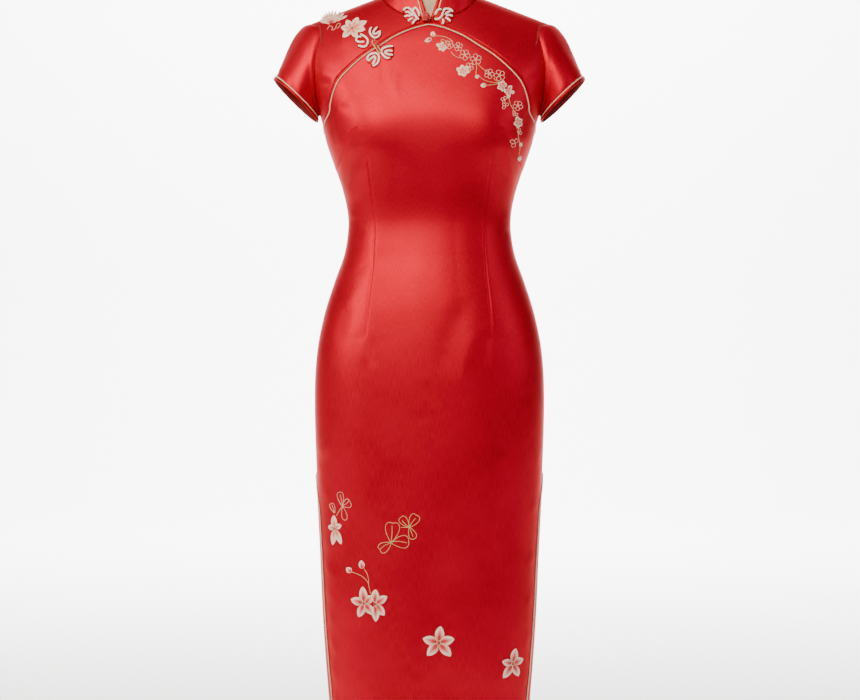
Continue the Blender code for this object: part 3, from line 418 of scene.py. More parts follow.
def armholePlace(angle):  # angle 0 at the shoulder's tip, a quarter turn at the front
    middle, half = (cut["tipZ"] + cut["underarm"]) / 2, (cut["tipZ"] - cut["underarm"]) / 2
    height = middle + half * math.cos(angle)
    side = front if math.sin(angle) >= 0 else back
    y = (cut["armholeFront"] if side == front else cut["armholeBack"]) * abs(math.sin(angle)) ** 0.85
    if y < 0.01 * mm:
        if math.cos(angle) > 0:
            return placeFor(cut["tipX"], shoulderHeight(cut["tipX"]))
        return sidePlace(side, height, seamSide)
    return placeFor(solve(lambda x: depthAt(side, x, height) - y, 0.10, sectionAt(height)[0]), height)


def unroll(place):  # a place as its turn and its distance down from the shoulder line
    turn, height = place
    share = (shoulderHeight(acrossAt(turn, height)) - height) / cut["roll"]
    return turn, math.acos(1 - max(share, 0.0)) if share < 1 else quarter + share - 1


def rollUp(turn, down):
    drop = cut["roll"] * (1 - math.cos(down) if down < quarter else 1 + down - quarter)
    height = 1.3
    for _ in range(12):
        height = shoulderHeight(acrossAt(turn, height)) - drop
    return turn, height


def straightPlace(low, high, share):  # between two places, straight over the rolled out cloth
    (turnLow, downLow), (turnHigh, downHigh) = low, high
    return rollUp(turnLow + (turnHigh - turnLow) * share, downLow + (downHigh - downLow) * share)


# Colours and materials


def linear(hexColour):
    values = [int(hexColour[i:i + 2], 16) / 255 for i in (1, 3, 5)]
    return tuple(v / 12.92 if v <= 0.04045 else ((v + 0.055) / 1.055) ** 2.4 for v in values) + (1.0,)


def addNode(tree, kind, links, output=0, **settings):  # gives the socket that the next node takes
    made = tree.nodes.new("ShaderNode" + kind)
    for name, value in settings.items():
        setattr(made, name, value)
    for socket, value in links.items():
        if isinstance(value, bpy.types.NodeSocket):
            tree.links.new(value, made.inputs[socket])
        else:
            made.inputs[socket].default_value = value
    return made.outputs[output]


def startMaterial(name, roughness, settings):
    material = bpy.data.materials.new(name)
    material.use_nodes = True
    shader = material.node_tree.nodes["Principled BSDF"]
    shader.inputs["Roughness"].default_value = roughness
    for socket, value in settings.items():
        shader.inputs[socket].default_value = value
    return material, material.node_tree, shader


# Colours along a tone, and a fine relief whose depth is in mm
def finishSurface(tree, shader, tone, stops, relief, strength, depth):
    colour = addNode(tree, "ValToRGB", {"Fac": tone})
    elements = colour.node.color_ramp.elements
    while len(elements) < len(stops):
        elements.new(0.5)
    for element, (position, hexColour) in zip(elements, stops):
        element.position, element.color = position, linear(hexColour)
    tree.links.new(colour, shader.inputs["Base Color"])
    bump = addNode(tree, "Bump", {"Strength": strength, "Distance": depth * mm, "Height": relief})
    tree.links.new(bump, shader.inputs["Normal"])


# Silk satin: long warp floats give a broad, soft, slightly warm gloss with fine upright streaks.
# Slub, its length and the thread are in mm. The real weave is about 0.1 mm, and it is drawn eight
# times as coarse, or it wouldn't show.
satin = {"deep": "#A0001C", "mid": "#BA0228", "bright": "#C80A2E", "roughness": 0.42,
         "slub": 1.1, "slubLength": 9.0, "thread": 0.8}


def silkSatin(name, deep, mid, bright):
    material, tree, shader = startMaterial(name, satin["roughness"], {
        "Metallic": 0.64, "Specular IOR Level": 0.4, "Specular Tint": linear("#E8505A")})
    uv = addNode(tree, "UVMap", {}, uv_map="UVMap")
    place = addNode(tree, "TexCoord", {}, "Object")
    slubScale = (1000 / satin["slub"], 1000 / satin["slubLength"], 1)
    streaks = addNode(tree, "Mapping", {"Vector": uv, "Scale": slubScale})
    slub = addNode(tree, "TexNoise", {"Vector": streaks, "Scale": 1.0, "Detail": 3.0, "Roughness": 0.6})
    cloud = addNode(tree, "TexNoise", {"Vector": place, "Scale": 9.0, "Detail": 2.0})
    slubPart = addNode(tree, "Math", {0: slub, 1: 0.55}, operation="MULTIPLY")
    tone = addNode(tree, "Math", {0: cloud, 1: 0.45, 2: slubPart}, operation="MULTIPLY_ADD")
    threads = addNode(tree, "Mapping", {
        "Vector": uv, "Rotation": (0, 0, 0.5), "Scale": (1000 / satin["thread"], 1000 / satin["thread"], 1)})
    grain = addNode(tree, "TexNoise", {"Vector": threads, "Scale": 1.0, "Detail": 1.0})
    weave = addNode(tree, "Math", {0: grain, 1: 0.4, 2: slub}, operation="MULTIPLY_ADD")
    finishSurface(tree, shader, tone, [(0.30, deep), (0.52, mid), (0.74, bright)], weave, 0.10, 0.4)
    rough = addNode(tree, "MapRange", {"Value": slub, "To Min": satin["roughness"] - 0.05,
                                       "To Max": satin["roughness"] + 0.06})
    tree.links.new(rough, shader.inputs["Roughness"])
    return material


# Lining silk: unshiny and dark, so that the openings look soft. Its threads are drawn 1.1 mm thick.
def liningSilk(name):
    material, tree, shader = startMaterial(name, 0.75, {})
    uv = addNode(tree, "UVMap", {}, uv_map="UVMap")
    threads = addNode(tree, "Mapping", {"Vector": uv, "Scale": (0.9 / mm, 0.3 / mm, 1)})
    weave = addNode(tree, "TexNoise", {"Vector": threads, "Scale": 1.0, "Detail": 2.0})
    finishSurface(tree, shader, weave, [(0.3, "#7A0612"), (0.7, "#920C1A")], weave, 0.2, 0.3)
    return material


# Twisted silk: fibres wound round the cord, drawn as slanted ridges about two pitches (in mm) apart.
def silkCord(name, dark, light, pitch, roughness=0.5):
    material, tree, shader = startMaterial(name, roughness, {"Sheen Weight": 0.25, "Sheen Roughness": 0.4})
    place = addNode(tree, "TexCoord", {}, "Object")
    turned = addNode(tree, "Mapping", {
        "Vector": place, "Rotation": (0.5, 0.4, 0.7), "Scale": (1000 / pitch,) * 3})
    twist = addNode(tree, "TexWave", {
        "Vector": turned, "Scale": 0.16, "Distortion": 1.6, "Detail": 1.0}, "Fac")
    cloud = addNode(tree, "TexNoise", {"Vector": place, "Scale": 160.0, "Detail": 2.0})
    ridges = addNode(tree, "Math", {0: twist, 1: 0.5}, operation="MULTIPLY")
    tone = addNode(tree, "Math", {0: cloud, 1: 0.5, 2: ridges}, operation="MULTIPLY_ADD")
    finishSurface(tree, shader, tone, [(0.2, dark), (0.7, light)], twist, 0.35, 0.3)
    return material


# Floss silk in long and short stitch: the stitches run down a petal from its dark root to its pale
# rim. A petal's own length and width are 1, and 16 threads lie across it.
floss = {"ragged": (5.0, 9 / 0.55, 1), "threads": (1.5, 16.0, 1)}


def flossSilk(name, root, middle, rim):
    material, tree, shader = startMaterial(name, 0.48, {"Sheen Weight": 0.3, "Sheen Roughness": 0.35})
    uv = addNode(tree, "UVMap", {}, uv_map="UVMap")
    along = addNode(tree, "SeparateXYZ", {0: uv})
    stretched = addNode(tree, "Mapping", {"Vector": uv, "Scale": floss["ragged"]})
    ragged = addNode(tree, "TexNoise", {"Vector": stretched, "Scale": 1.0, "Detail": 2.0})
    across = addNode(tree, "Math", {0: along.node.outputs["Y"], 1: 0.5}, operation="SUBTRACT")
    rimward = addNode(tree, "Math", {0: across}, operation="ABSOLUTE")
    outward = addNode(tree, "Math", {0: rimward, 1: 1.5, 2: along}, operation="MULTIPLY_ADD")
    whole = addNode(tree, "Math", {0: ragged, 1: 0.5, 2: outward}, operation="MULTIPLY_ADD")
    tone = addNode(tree, "Math", {0: whole, 1: 0.5}, operation="MULTIPLY")
    lines = addNode(tree, "Mapping", {"Vector": uv, "Scale": floss["threads"]})
    thread = addNode(tree, "TexNoise", {"Vector": lines, "Scale": 1.0, "Detail": 1.0})
    finishSurface(tree, shader, tone, [(0.32, root), (0.50, middle), (0.66, rim)], thread, 0.5, 0.3)
    return material


# Plain linen: matt, with even threads, drawn 1.85 mm apart or about twice as coarse as they are.
def plainLinen(name):
    material, tree, shader = startMaterial(name, 0.86, {"Sheen Weight": 0.15, "Sheen Roughness": 0.6})
    place = addNode(tree, "TexCoord", {}, "Object")
    bands = {"Vector": place, "Scale": 170.0, "Distortion": 1.2, "Detail": 2.0}
    warp, weft = (addNode(tree, "TexWave", bands, "Fac", bands_direction=way) for way in "XZ")
    warpPart = addNode(tree, "Math", {0: warp, 1: 0.5}, operation="MULTIPLY")
    woven = addNode(tree, "Math", {0: weft, 1: 0.5, 2: warpPart}, operation="MULTIPLY_ADD")
    cloud = addNode(tree, "TexNoise", {"Vector": place, "Scale": 60.0, "Detail": 3.0})
    tone = addNode(tree, "Math", {0: cloud, 1: 0.6, 2: woven}, operation="MULTIPLY_ADD")
    stops = [(0.35, "#B59A7C"), (0.75, "#CDB594"), (1.0, "#DCC8AC")]
    finishSurface(tree, shader, tone, stops, woven, 0.45, 0.4)
    return material


# Lacquered walnut: grain 25 mm long and 3 mm wide across the cap, under a thin gloss.
def walnut(name):
    material, tree, shader = startMaterial(name, 0.32, {"Coat Weight": 0.4, "Coat Roughness": 0.15})
    place = addNode(tree, "TexCoord", {}, "Object")
    grainwise = addNode(tree, "Mapping", {"Vector": place, "Scale": (1000 / 25, 1000 / 3.125, 1000 / 25)})
    grain = addNode(tree, "TexNoise", {"Vector": grainwise, "Scale": 1.0, "Detail": 5.0, "Distortion": 0.6})
    stops = [(0.3, "#3A2012"), (0.55, "#6B4226"), (0.75, "#8A5B36")]
    finishSurface(tree, shader, grain, stops, grain, 0.15, 0.3)
    return material


# Brushed steel: fine lines turned round it, 0.7 mm apart as drawn, over clouds of a duller grey.
def brushedSteel(name):
    material, tree, shader = startMaterial(name, 0.34, {"Metallic": 1.0})
    place = addNode(tree, "TexCoord", {}, "Object")
    lines = addNode(tree, "Mapping", {"Vector": place, "Scale": (60, 60, 1400)})
    scratch = addNode(tree, "TexNoise", {"Vector": lines, "Scale": 1.0, "Detail": 3.0})
    smudge = addNode(tree, "TexNoise", {"Vector": place, "Scale": 14.0, "Detail": 3.0})
    finishSurface(tree, shader, smudge, [(0.3, "#A9AAAC"), (0.7, "#C9CACC")], scratch, 0.12, 0.2)
    rough = addNode(tree, "MapRange", {"Value": scratch, "To Min": 0.24, "To Max": 0.44})
    tree.links.new(rough, shader.inputs["Roughness"])
    return material


panelSatin = silkSatin("silkSatin", satin["deep"], satin["mid"], satin["bright"])
bindingSatin = silkSatin("silkSatinBias", "#980012", "#B00218", "#C00A20")
redLining = liningSilk("redLining")
pipingSilk = silkCord("ivoryPiping", "#CDA88A", "#EBD8C4", 1.2)
frogSilk = silkCord("ivoryFrogCord", "#EDEAE0", "#FFFFFF", 1.6)
goldThread = silkCord("goldThread", "#C98A4B", "#E8BE8A", 0.9, 0.4)
blushThread = silkCord("blushThread", "#D68E78", "#EDBFA9", 0.9, 0.45)
creamFloss = flossSilk("creamFloss", "#DE6A55", "#F0C3B0", "#F6E4D8")
blushFloss = flossSilk("blushFloss", "#BC1828", "#E08A7C", "#F3DDD2")
creamRim = silkCord("creamThread", "#E4BCA8", "#F6E6DA", 0.9, 0.45)
linenCover = plainLinen("plainLinen")
capWalnut = walnut("lacqueredWalnut")
standSteel = brushedSteel("brushedSteel")
print("materials ready")

# Making pieces


def smoothMesh(bm, name):
    for face in bm.faces:
        face.smooth = True
    mesh = bpy.data.meshes.new(name)
    bm.to_mesh(mesh)
    bm.free()
    return mesh


def addPiece(name, shape, material, stands):
    piece = bpy.data.objects.new(name, shape)
    bpy.context.scene.collection.objects.link(piece)
    shape.materials.append(material)
    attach(piece, "root")
    if stands:
        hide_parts(*stands)
    return piece


def giveWall(piece, thickness):
    wall = piece.modifiers.new("thickness", "SOLIDIFY")
    wall.thickness, wall.offset, wall.use_even_offset = thickness, -1.0, False
    return wall


def clothPiece(name, columns, rows, pointAt, flat, material, stands=(),
               thickness=0.9 * mm, ring=False):
    bm = bmesh.new()
    uvLayer = bm.loops.layers.uv.new("UVMap")
    bmesh.ops.create_grid(bm, x_segments=columns, y_segments=rows, size=0.5)
    for face in bm.faces:
        for loop in face.loops:
            loop[uvLayer].uv = ((loop.vert.co.x + 0.5) * flat[0], (loop.vert.co.y + 0.5) * flat[1])
    for vert in bm.verts:
        vert.co = pointAt(vert.co.x + 0.5, vert.co.y + 0.5)
    if ring:
        bmesh.ops.remove_doubles(bm, verts=bm.verts, dist=0.01 * mm)
    bm.normal_update()
    middle = sum((v.co for v in bm.verts), Vector()) / len(bm.verts)
    middle = Vector(inwardOf.get(name, middle))
    if sum(face.normal.dot(face.calc_center_median() - middle) * face.calc_area() for face in bm.faces) < 0:
        bmesh.ops.reverse_faces(bm, faces=bm.faces)
    piece = addPiece(name, smoothMesh(bm, name), material, stands)
    if thickness:
        piece.data.materials.append(redLining)
        giveWall(piece, thickness).material_offset = 1
    return piece


inwardOf = {  # a point well behind each open panel, to turn its faces outwards
    "frontPanel": (0, 0.3, 0.8), "backPanel": (0, -0.3, 0.8),
    "yokeLeft": (0, 0.3, 1.1), "yokeRight": (0, 0.3, 1.1),
}


def threadPiece(name, paths, radius, material, stands=(), sidesCount=1, taper=None):
    curve = bpy.data.curves.new(name, "CURVE")
    curve.dimensions = "3D"
    curve.bevel_depth, curve.bevel_resolution, curve.use_fill_caps = radius, sidesCount, True
    for path, closed in paths:
        spline = curve.splines.new("POLY")
        spline.points.add(len(path) - 1)
        for k, (point, co) in enumerate(zip(spline.points, path)):
            point.co = (*co, 1.0)
            if taper:
                point.radius = taper(k / (len(path) - 1))
        spline.use_cyclic_u = closed
    return addPiece(name, curve, material, stands)


def ribbonPiece(name, lines, material, stands, bulge, ring=False):  # padded strip over rows of points
    columns = len(lines[0]) - (0 if ring else 1)
    rows = len(lines) - 1

    def pointAt(u, v):
        c, r = int(round(u * columns)), int(round(v * rows))
        point, normal = lines[r][c % len(lines[0])]
        return point + normal * bulge(r / rows)
    return clothPiece(name, columns, rows, pointAt, (columns * 3 * mm, rows * mm), material, stands,
                      thickness=0.8 * mm, ring=ring)


# Front and back panels

panelGrid = {"columns": 160, "rows": 290, "joinHeight": 1.10, "waistHeight": 0.88, "groove": 2.4 * mm}
columnStops = (0.0, 0.475, 0.4875, 0.5, 0.5125, 0.525, 1.0)
rowStops = (0.0, 0.33, 0.62)


def turnAcross(side, w, height):
    dart, g = dartAcross(height), panelGrid["groove"]
    if w < columnStops[1]:  # even steps across the cloth, not round it
        return turnFor((dart - g) * w / columnStops[1], height)
    places = [turnFor(dart + away, height) for away in (-g, -g / 3, 0, g / 3, g)]
    return blendAt(w, columnStops[1:], places + [sidePlace(side, height, sideGap(height))[0]])


lapelLengths = stepLengths(lapelPlaces, lambda a, b: (bodyPoint(front, b) - bodyPoint(front, a)).length)
lapelDartLength = next(s for s, p in zip(lapelLengths, lapelPlaces) if bodyPoint(front, p).x > 0.112)
lapelStops = [0.0, *(lapelDartLength + away * mm for away in (-2.4, -0.8, 0, 0.8, 2.4)), lapelLengths[-1]]


@lru_cache(maxsize=None)
def frontTop(w):
    lengths = lapelLengths
    at = blendAt(w, columnStops, lapelStops)
    i = max(k for k in range(lapelSteps - 1) if lengths[k] <= at + 1e-9)
    t = (at - lengths[i]) / (lengths[i + 1] - lengths[i])
    return tuple(a + (b - a) * t for a, b in zip(lapelPlaces[i], lapelPlaces[i + 1]))


@lru_cache(maxsize=None)
def backTop(w):
    if w <= 0.38:
        return neckPlace(math.pi - quarter * w / 0.38)
    if w <= 0.62:
        shoulderAcross = (cut["neckHalfWidth"], 0.1216, 0.124, 0.1264, cut["tipX"])
        x = blendAt(w, (0.38, 0.475, 0.5, 0.525, 0.62), shoulderAcross)
        return placeFor(x, shoulderHeight(x))
    return armholePlace(-math.pi * (w - 0.62) / 0.38)


@lru_cache(maxsize=None)
def joinRow(side, w):
    return unroll((turnAcross(side, w, panelGrid["joinHeight"]), panelGrid["joinHeight"]))


@lru_cache(maxsize=None)
def topRow(side, w):
    return unroll(frontTop(w) if side == front else backTop(w))


def panelPoint(side, u, v):
    w = round(abs(u - 0.5) * 2, 6)
    sign = 1 if u >= 0.5 else -1
    if v <= rowStops[2]:
        height = blendAt(v, rowStops, (cut["hem"], panelGrid["waistHeight"], panelGrid["joinHeight"]))
        place = (turnAcross(side, w, height), height)
    else:
        place = straightPlace(joinRow(side, w), topRow(side, w), (v - rowStops[2]) / (1 - rowStops[2]))
    return clothPoint(side, (place[0] * sign, place[1]))[0]


def bodyPanel(name, side, flat, stands):
    return clothPiece(name, panelGrid["columns"], panelGrid["rows"], lambda u, v: panelPoint(side, u, v),
                      flat, panelSatin, stands=[stands])


frontPanel = bodyPanel("frontPanel", front, (0.47, 1.10), "front_panel")
backPanel = bodyPanel("backPanel", back, (0.49, 1.17), "back_panel")
print("panels ready")

# Yokes, from the lapel up to the collar, the shoulder seam and the armhole

yoke = {"columns": 90, "rows": 56, "stops": (0.0, 0.34, 0.62, 1.0)}
trimWidth = pipingReach + cut["binding"]


@lru_cache(maxsize=None)
def yokeTop(u):
    stops = yoke["stops"]
    if u <= stops[1]:
        return neckPlace(quarter * (u / stops[1]) ** 1.2)
    if u <= stops[2]:
        x = blendAt(u, stops[1:3], (cut["neckHalfWidth"], cut["tipX"]))
        return placeFor(x, shoulderHeight(x))
    return armholePlace(math.pi * (u - stops[2]) / (1 - stops[2]))


def yokePoint(sign, u, v):
    u = round(u, 6)
    lower = lapelOffset(trimWidth + cut["seam"])
    at = blendAt(u, yoke["stops"], (0.0, 0.175, 0.475, 1.0)) * (len(lower) - 1)
    i = min(int(at), len(lower) - 2)
    low = unroll(tuple(a + (b - a) * (at - i) for a, b in zip(lower[i], lower[i + 1])))
    turn, height = straightPlace(low, unroll(yokeTop(u)), v)
    point = clothPoint(front, (turn * sign, height))[0]
    if abs(point.x) < seamSide:
        point.x = sign * seamSide
    return point


yokes = [clothPiece("yoke" + label.title(), yoke["columns"], yoke["rows"],
                    lambda u, v, s=sign: yokePoint(s, u, v), (0.26, 0.14),
                    panelSatin, stands=["yoke_" + label])
         for label, sign in sides]
print("yokes ready")

# Sleeves: short caps with a slanted cuff

sleeve = {"columns": 72, "rows": 26, "cuffOuter": (0.2418, 0.0, 1.2898), "cuffInner": (0.1735, 0.0, 1.2245),
          "halfDepth": 0.053, "frontLift": 0.004, "cuffAngle": math.radians(56), "fullness": 0.95,
          "clothEnd": 1.0 * mm, "underTrim": 0.9 * mm, "seamPuff": 0.9 * mm}
sleeveCreases = [  # angle and share along of each soft fold, half widths of both, and height in mm
    (2.3, 0.55, 0.16, 0.35, 1.2), (1.9, 0.70, 0.14, 0.30, -1.1), (1.4, 0.30, 0.20, 0.22, 0.9),
    (0.9, 0.62, 0.18, 0.30, -0.8), (2.7, 0.35, 0.14, 0.30, -1.0), (-1.0, 0.5, 0.2, 0.3, 1.0),
    (-1.7, 0.6, 0.18, 0.3, -1.0), (-2.4, 0.4, 0.16, 0.35, 1.1), (0.4, 0.25, 0.25, 0.18, 0.7),
]


@lru_cache(maxsize=None)
def sleeveColumn(k, sign):
    centre = (Vector(sleeve["cuffOuter"]) + Vector(sleeve["cuffInner"])) / 2
    chord = (Vector(sleeve["cuffOuter"]) - Vector(sleeve["cuffInner"])) / 2
    across = Vector((0, -sleeve["halfDepth"], sleeve["frontLift"]))
    flip = Vector((sign, 1, 1))
    count = sleeve["columns"]
    angle = 2 * math.pi * k / count
    side = front if 2 * k <= count else back
    place = armholePlace(angle)
    point, normal = bodyPoint(side, place), bodyNormal(side, place)
    if k in (0, count // 2):
        point.y = 0.0
    cuff = centre + chord * math.cos(angle) + across * math.sin(angle)
    return point * flip, normal * flip, cuff * flip, angle


def sleevePoint(column, sign, share):
    armhole, normal, cuff, angle = column
    full = (cuff - armhole).length
    steep = math.radians(38 - 14 * math.cos(angle))
    start = Vector((sign * math.cos(steep), 0, -math.sin(steep))) + normal * 0.25
    end = Vector((sign * math.cos(sleeve["cuffAngle"]), 0, -math.sin(sleeve["cuffAngle"])))
    fullness = full * sleeve["fullness"]
    return easeBetween(armhole, start.normalized() * fullness, cuff, end * fullness, share)


@lru_cache(maxsize=None)
def sleeveRing(sign, fromCuff, share):  # points and normals of a ring, at a share of the way to its last one
    columns = [sleeveColumn(k, sign) for k in range(sleeve["columns"])]
    shares = [(1 - fromCuff / (c[2] - c[0]).length) * share for c in columns]
    points = [sleevePoint(c, sign, s) for c, s in zip(columns, shares)]
    middle = sum(points, Vector()) / len(points)
    ring = []
    if share == 0:
        for k, point in enumerate(points):
            normal = columns[k][1]
            inward = middle - point
            inward = (inward - normal * inward.dot(normal)).normalized()
            folded = (1 - math.cos(columns[k][3])) / 2
            ring.append((point + inward * cut["sleeveSeam"], normal.lerp(-inward, folded).normalized()))
        return ring
    for k, (column, at) in enumerate(zip(columns, shares)):
        down = points[k] - sleevePoint(column, sign, at - 0.02)
        out = down.cross(points[(k + 1) % len(points)] - points[k - 1]).normalized()
        out *= math.copysign(1, out.dot(points[k] - middle))
        rise = 0.0
        for angle, along, wide, tall, height in sleeveCreases:
            turned = (column[3] - angle + math.pi) % (2 * math.pi) - math.pi
            rise += height * mm * math.exp(-((turned / wide) ** 2) - ((share - along) / tall) ** 2)
        rise += sleeve["seamPuff"] * math.exp(-(((share - 0.10) / 0.09) ** 2))
        rise *= smoothStep(share / 0.12) * smoothStep((1 - share) / 0.12)
        ring.append((points[k] + out * rise, out))
    return ring


def sleeveCloth(label, sign):
    columns, rows = sleeve["columns"], sleeve["rows"]

    def pointAt(u, v):
        share = round(v * rows) / rows
        share = share * share * 0.25 + share * 0.75
        point, out = sleeveRing(sign, sleeve["clothEnd"], share)[int(round(u * columns)) % columns]
        return point - out * sleeve["underTrim"] * smoothStep((share - 0.84) / 0.06)
    return clothPiece("sleeve" + label.title(), columns, rows, pointAt, (0.34, 0.075), panelSatin,
                      stands=["sleeve_" + label], ring=True)


sleeves = [sleeveCloth(label, sign) for label, sign in sides]
seamTape = silkCord("redSeamTape", "#8A0014", "#A8081E", 1.2)  # closes the armhole seam from inside
for label, sign in sides:
    tape = [point - out * 1.5 * mm for point, out in sleeveRing(sign, sleeve["clothEnd"], 0)]
    threadPiece("armholeTape" + label.title(), [(tape, True)], 1.4 * mm, seamTape, sidesCount=1)
print("sleeves ready")

# Piping and binding

pipingRadius = 0.85 * mm


def bothHalves(line):
    return [(-turn, height) for turn, height in line[:0:-1]] + list(line)


def lapelLine(reach):
    return [clothPoint(front, p) for p in bothHalves(lapelOffset(reach))]


def rolled(share):  # a folded bias strip is a soft roll
    return 0.75 * mm * math.sin(math.pi * share) ** 0.6 - 0.1 * mm


def addPiping(name, core, ring=False):
    return threadPiece("piping" + name[0], [(core, ring)], pipingRadius, pipingSilk,
                       stands=["piping_" + name[1]], sidesCount=2)


def addTrim(name, lineAt, bindingWidth, ring=False):  # a name is the scene's and the solid's
    core = [point + normal * 0.25 * mm for point, normal in lineAt(pipingMiddle)]
    piping = addPiping(name, core, ring)
    lines = [lineAt(pipingReach + bindingWidth * k / 6) for k in range(7)]
    binding = ribbonPiece("binding" + name[0], lines, bindingSatin, ["binding_" + name[1]],
                          rolled, ring=ring)
    return piping, binding


lapelTrim = addTrim(("Lapel", "lapel"), lapelLine, cut["binding"])
for label, sign in sides:
    addTrim(("Cuff" + label.title(), "cuff_" + label),
                               lambda d, s=sign: sleeveRing(s, trimWidth - d, 1.0),
                               cut["binding"], ring=True)

# The front's slit binding is turned well round the side, so that its piping shows from the front
slitBindings = {"widths": {front: 27 * mm, back: cut["slitBinding"]}, "edge": 0.1 * mm, "lift": 0.5 * mm,
                "pipingLift": 0.9 * mm, "steps": 70, "leave": 0.07}


def slitLine(side, sign, reach, lift):
    count = slitBindings["steps"]
    low, high = cut["hem"], cut["slitTop"] - 0.004
    heights = [low + (high - low) * k / count for k in range(count + 1)]
    places = [(sidePlace(side, height, sideGap(height))[0] * sign, height) for height in heights]
    base = [(bodyPoint(side, p), bodyNormal(side, p)) for p in places]
    row = []
    for i, (point, normal) in enumerate(base):
        along = base[min(i + 1, count)][0] - base[max(i - 1, 0)][0]
        out = normal.cross(along).normalized()
        out *= math.copysign(1, out.y * side)
        below = cut["slitTop"] - point.z  # the trim leaves the side seam at the slit's top
        grown = max(reach * smoothStep(0.1 + below / slitBindings["leave"]), slitBindings["edge"])
        spot, spotNormal = clothPoint(side, placeNear(side, point + out * grown))
        row.append((spot + spotNormal * lift, spotNormal))
    return row


for sideName, side in (("front", front), ("back", back)):
    for label, sign in sides:
        name = ("Slit" + sideName.title() + label.title(), f"slit_{sideName}_{label}")
        width, edge = slitBindings["widths"][side], slitBindings["edge"]
        lines = [slitLine(side, sign, edge + (width - edge) * k / 8, slitBindings["lift"]) for k in range(9)]
        binding = ribbonPiece("binding" + name[0], lines, bindingSatin, ["binding_" + name[1]],
                              lambda share: 0.35 * mm * math.sin(math.pi * share) ** 0.6)
        core = [p for p, n in slitLine(side, sign, width + pipingMiddle, slitBindings["pipingLift"])]
        addPiping(name, core)
print("trims ready")

# Collar

collar = {"height": 0.046, "lean": math.radians(9), "end": 1.6 * mm, "footGap": 0.5 * mm, "spread": 0.34,
          "corner": 0.019, "columns": 150, "rows": 12}
footCount = 360
footTable = []
for k in range(-6, footCount + 7):
    angle = math.pi * k / footCount
    inside = abs(angle) if angle <= math.pi else 2 * math.pi - angle
    footSide = front if math.cos(inside) > 0 else back
    foot = bodyPoint(footSide, neckPlace(inside))
    if abs(inside - quarter) < 1e-6:
        foot.y = 0.0
    if angle < 0 or angle > math.pi:
        foot.x = -foot.x
    footTable.append(foot)


def neckFoot(angle):
    at = min(max(angle / math.pi * footCount + 6, 0), len(footTable) - 1.001)
    i = int(at)
    return footTable[i].lerp(footTable[i + 1], at - i)


neckLengths = stepLengths(footTable[6:footCount + 7], lambda a, b: (b - a).length)
halfNeck = neckLengths[-1]


def neckAngle(run):
    low = max(min(int(run / halfNeck * footCount), footCount - 1), 0)
    while low > 0 and neckLengths[low] > run:
        low -= 1
    while low < footCount - 1 and neckLengths[low + 1] < run:
        low += 1
    t = (run - neckLengths[low]) / (neckLengths[low + 1] - neckLengths[low])
    return math.pi * (low + t) / footCount


def collarPoint(run, rise):
    sign = 1 if run < halfNeck else -1
    near = run if run < halfNeck else 2 * halfNeck - run
    near += collar["spread"] * rise * max(0.0, 1 - near / (0.4 * halfNeck))
    angle = neckAngle(near)
    foot = neckFoot(angle)
    along = neckFoot(angle + 0.02) - neckFoot(angle - 0.02)
    out = Vector((along.y, -along.x, 0)).normalized()
    out *= math.copysign(1, out.dot(Vector((foot.x, foot.y, 0))))
    lean = collar["lean"]
    up = Vector((0, 0, math.cos(lean))) - out * math.sin(lean)
    normal = out * math.cos(lean) + Vector((0, 0, math.sin(lean)))
    flip = Vector((sign, 1, 1))
    return (foot + up * (rise + collar["footGap"])) * flip, normal * flip


def collarHeightAt(run, inset):
    corner = collar["corner"] - inset
    near = max(run - collar["end"] - inset, 0.0)
    fall = 0.0 if near >= corner else corner - math.sqrt(max(corner**2 - (corner - near) ** 2, 0.0))
    return collar["height"] - inset - fall


def collarRun(share, inset):  # closer together round the front corners
    near = min(share, 1 - share) * 2
    corner, start = collar["corner"] - inset, collar["end"] + inset
    if near < 0.3:
        return start + corner * (1 - math.cos(quarter * near / 0.3))
    return start + corner + (halfNeck - start - corner) * (near - 0.3) / 0.7


collarReach = pipingReach + cut["collarBinding"]


def collarBand(u, v):
    run = collarRun(u, collarReach)
    point, normal = collarPoint(run, collarHeightAt(run, collarReach) * v)
    soft = 0.5 * mm * math.sin(math.pi * v) * (0.5 + 0.5 * math.sin(run * 140 + 1.0))
    point += normal * soft
    if u > 0.5:
        point.x = -point.x
    return point


def collarRim(inset):
    steps = collar["columns"]
    runs = [collarRun(k / steps, inset) for k in range(steps // 2 + 1)]
    first = collarHeightAt(runs[0], inset)
    half = [(runs[0], first * k / 8) for k in range(8)]
    half += [(run, collarHeightAt(run, inset)) for run in runs]
    right = [collarPoint(min(run, halfNeck - 1e-6), rise) for run, rise in half]
    flip = Vector((-1, 1, 1))
    return right + [(p * flip, n * flip) for p, n in right[-2::-1]]


inwardOf["collarBand"] = (0, 0, 1.40)
collarBandPiece = clothPiece("collarBand", collar["columns"], collar["rows"], collarBand, (0.40, 0.037),
                             panelSatin, stands=["collar_stand"])
collarTrim = addTrim(("Collar", "collar"), lambda d: collarRim(collarReach - d), cut["collarBinding"])
print("collar ready")

# Where a spot of the photo's frame lies on the front


def frontSkin(x, height):
    if abs(x) < cut["neckHalfWidth"]:
        angle = math.asin((abs(x) / cut["neckHalfWidth"]) ** (cut["neckSquareness"] / 2))
        rise = height - neckFoot(angle).z
        if rise > 0:  # on the collar
            at = angle / math.pi * footCount
            i = min(int(at), footCount - 1)
            run = neckLengths[i] + (neckLengths[i + 1] - neckLengths[i]) * (at - i)
            point, normal = collarPoint(run, rise / math.cos(collar["lean"]))
            return Vector((x, point.y, height)), normal * Vector((math.copysign(1, x), 1, 1))
    return clothPoint(front, placeFor(x, height))


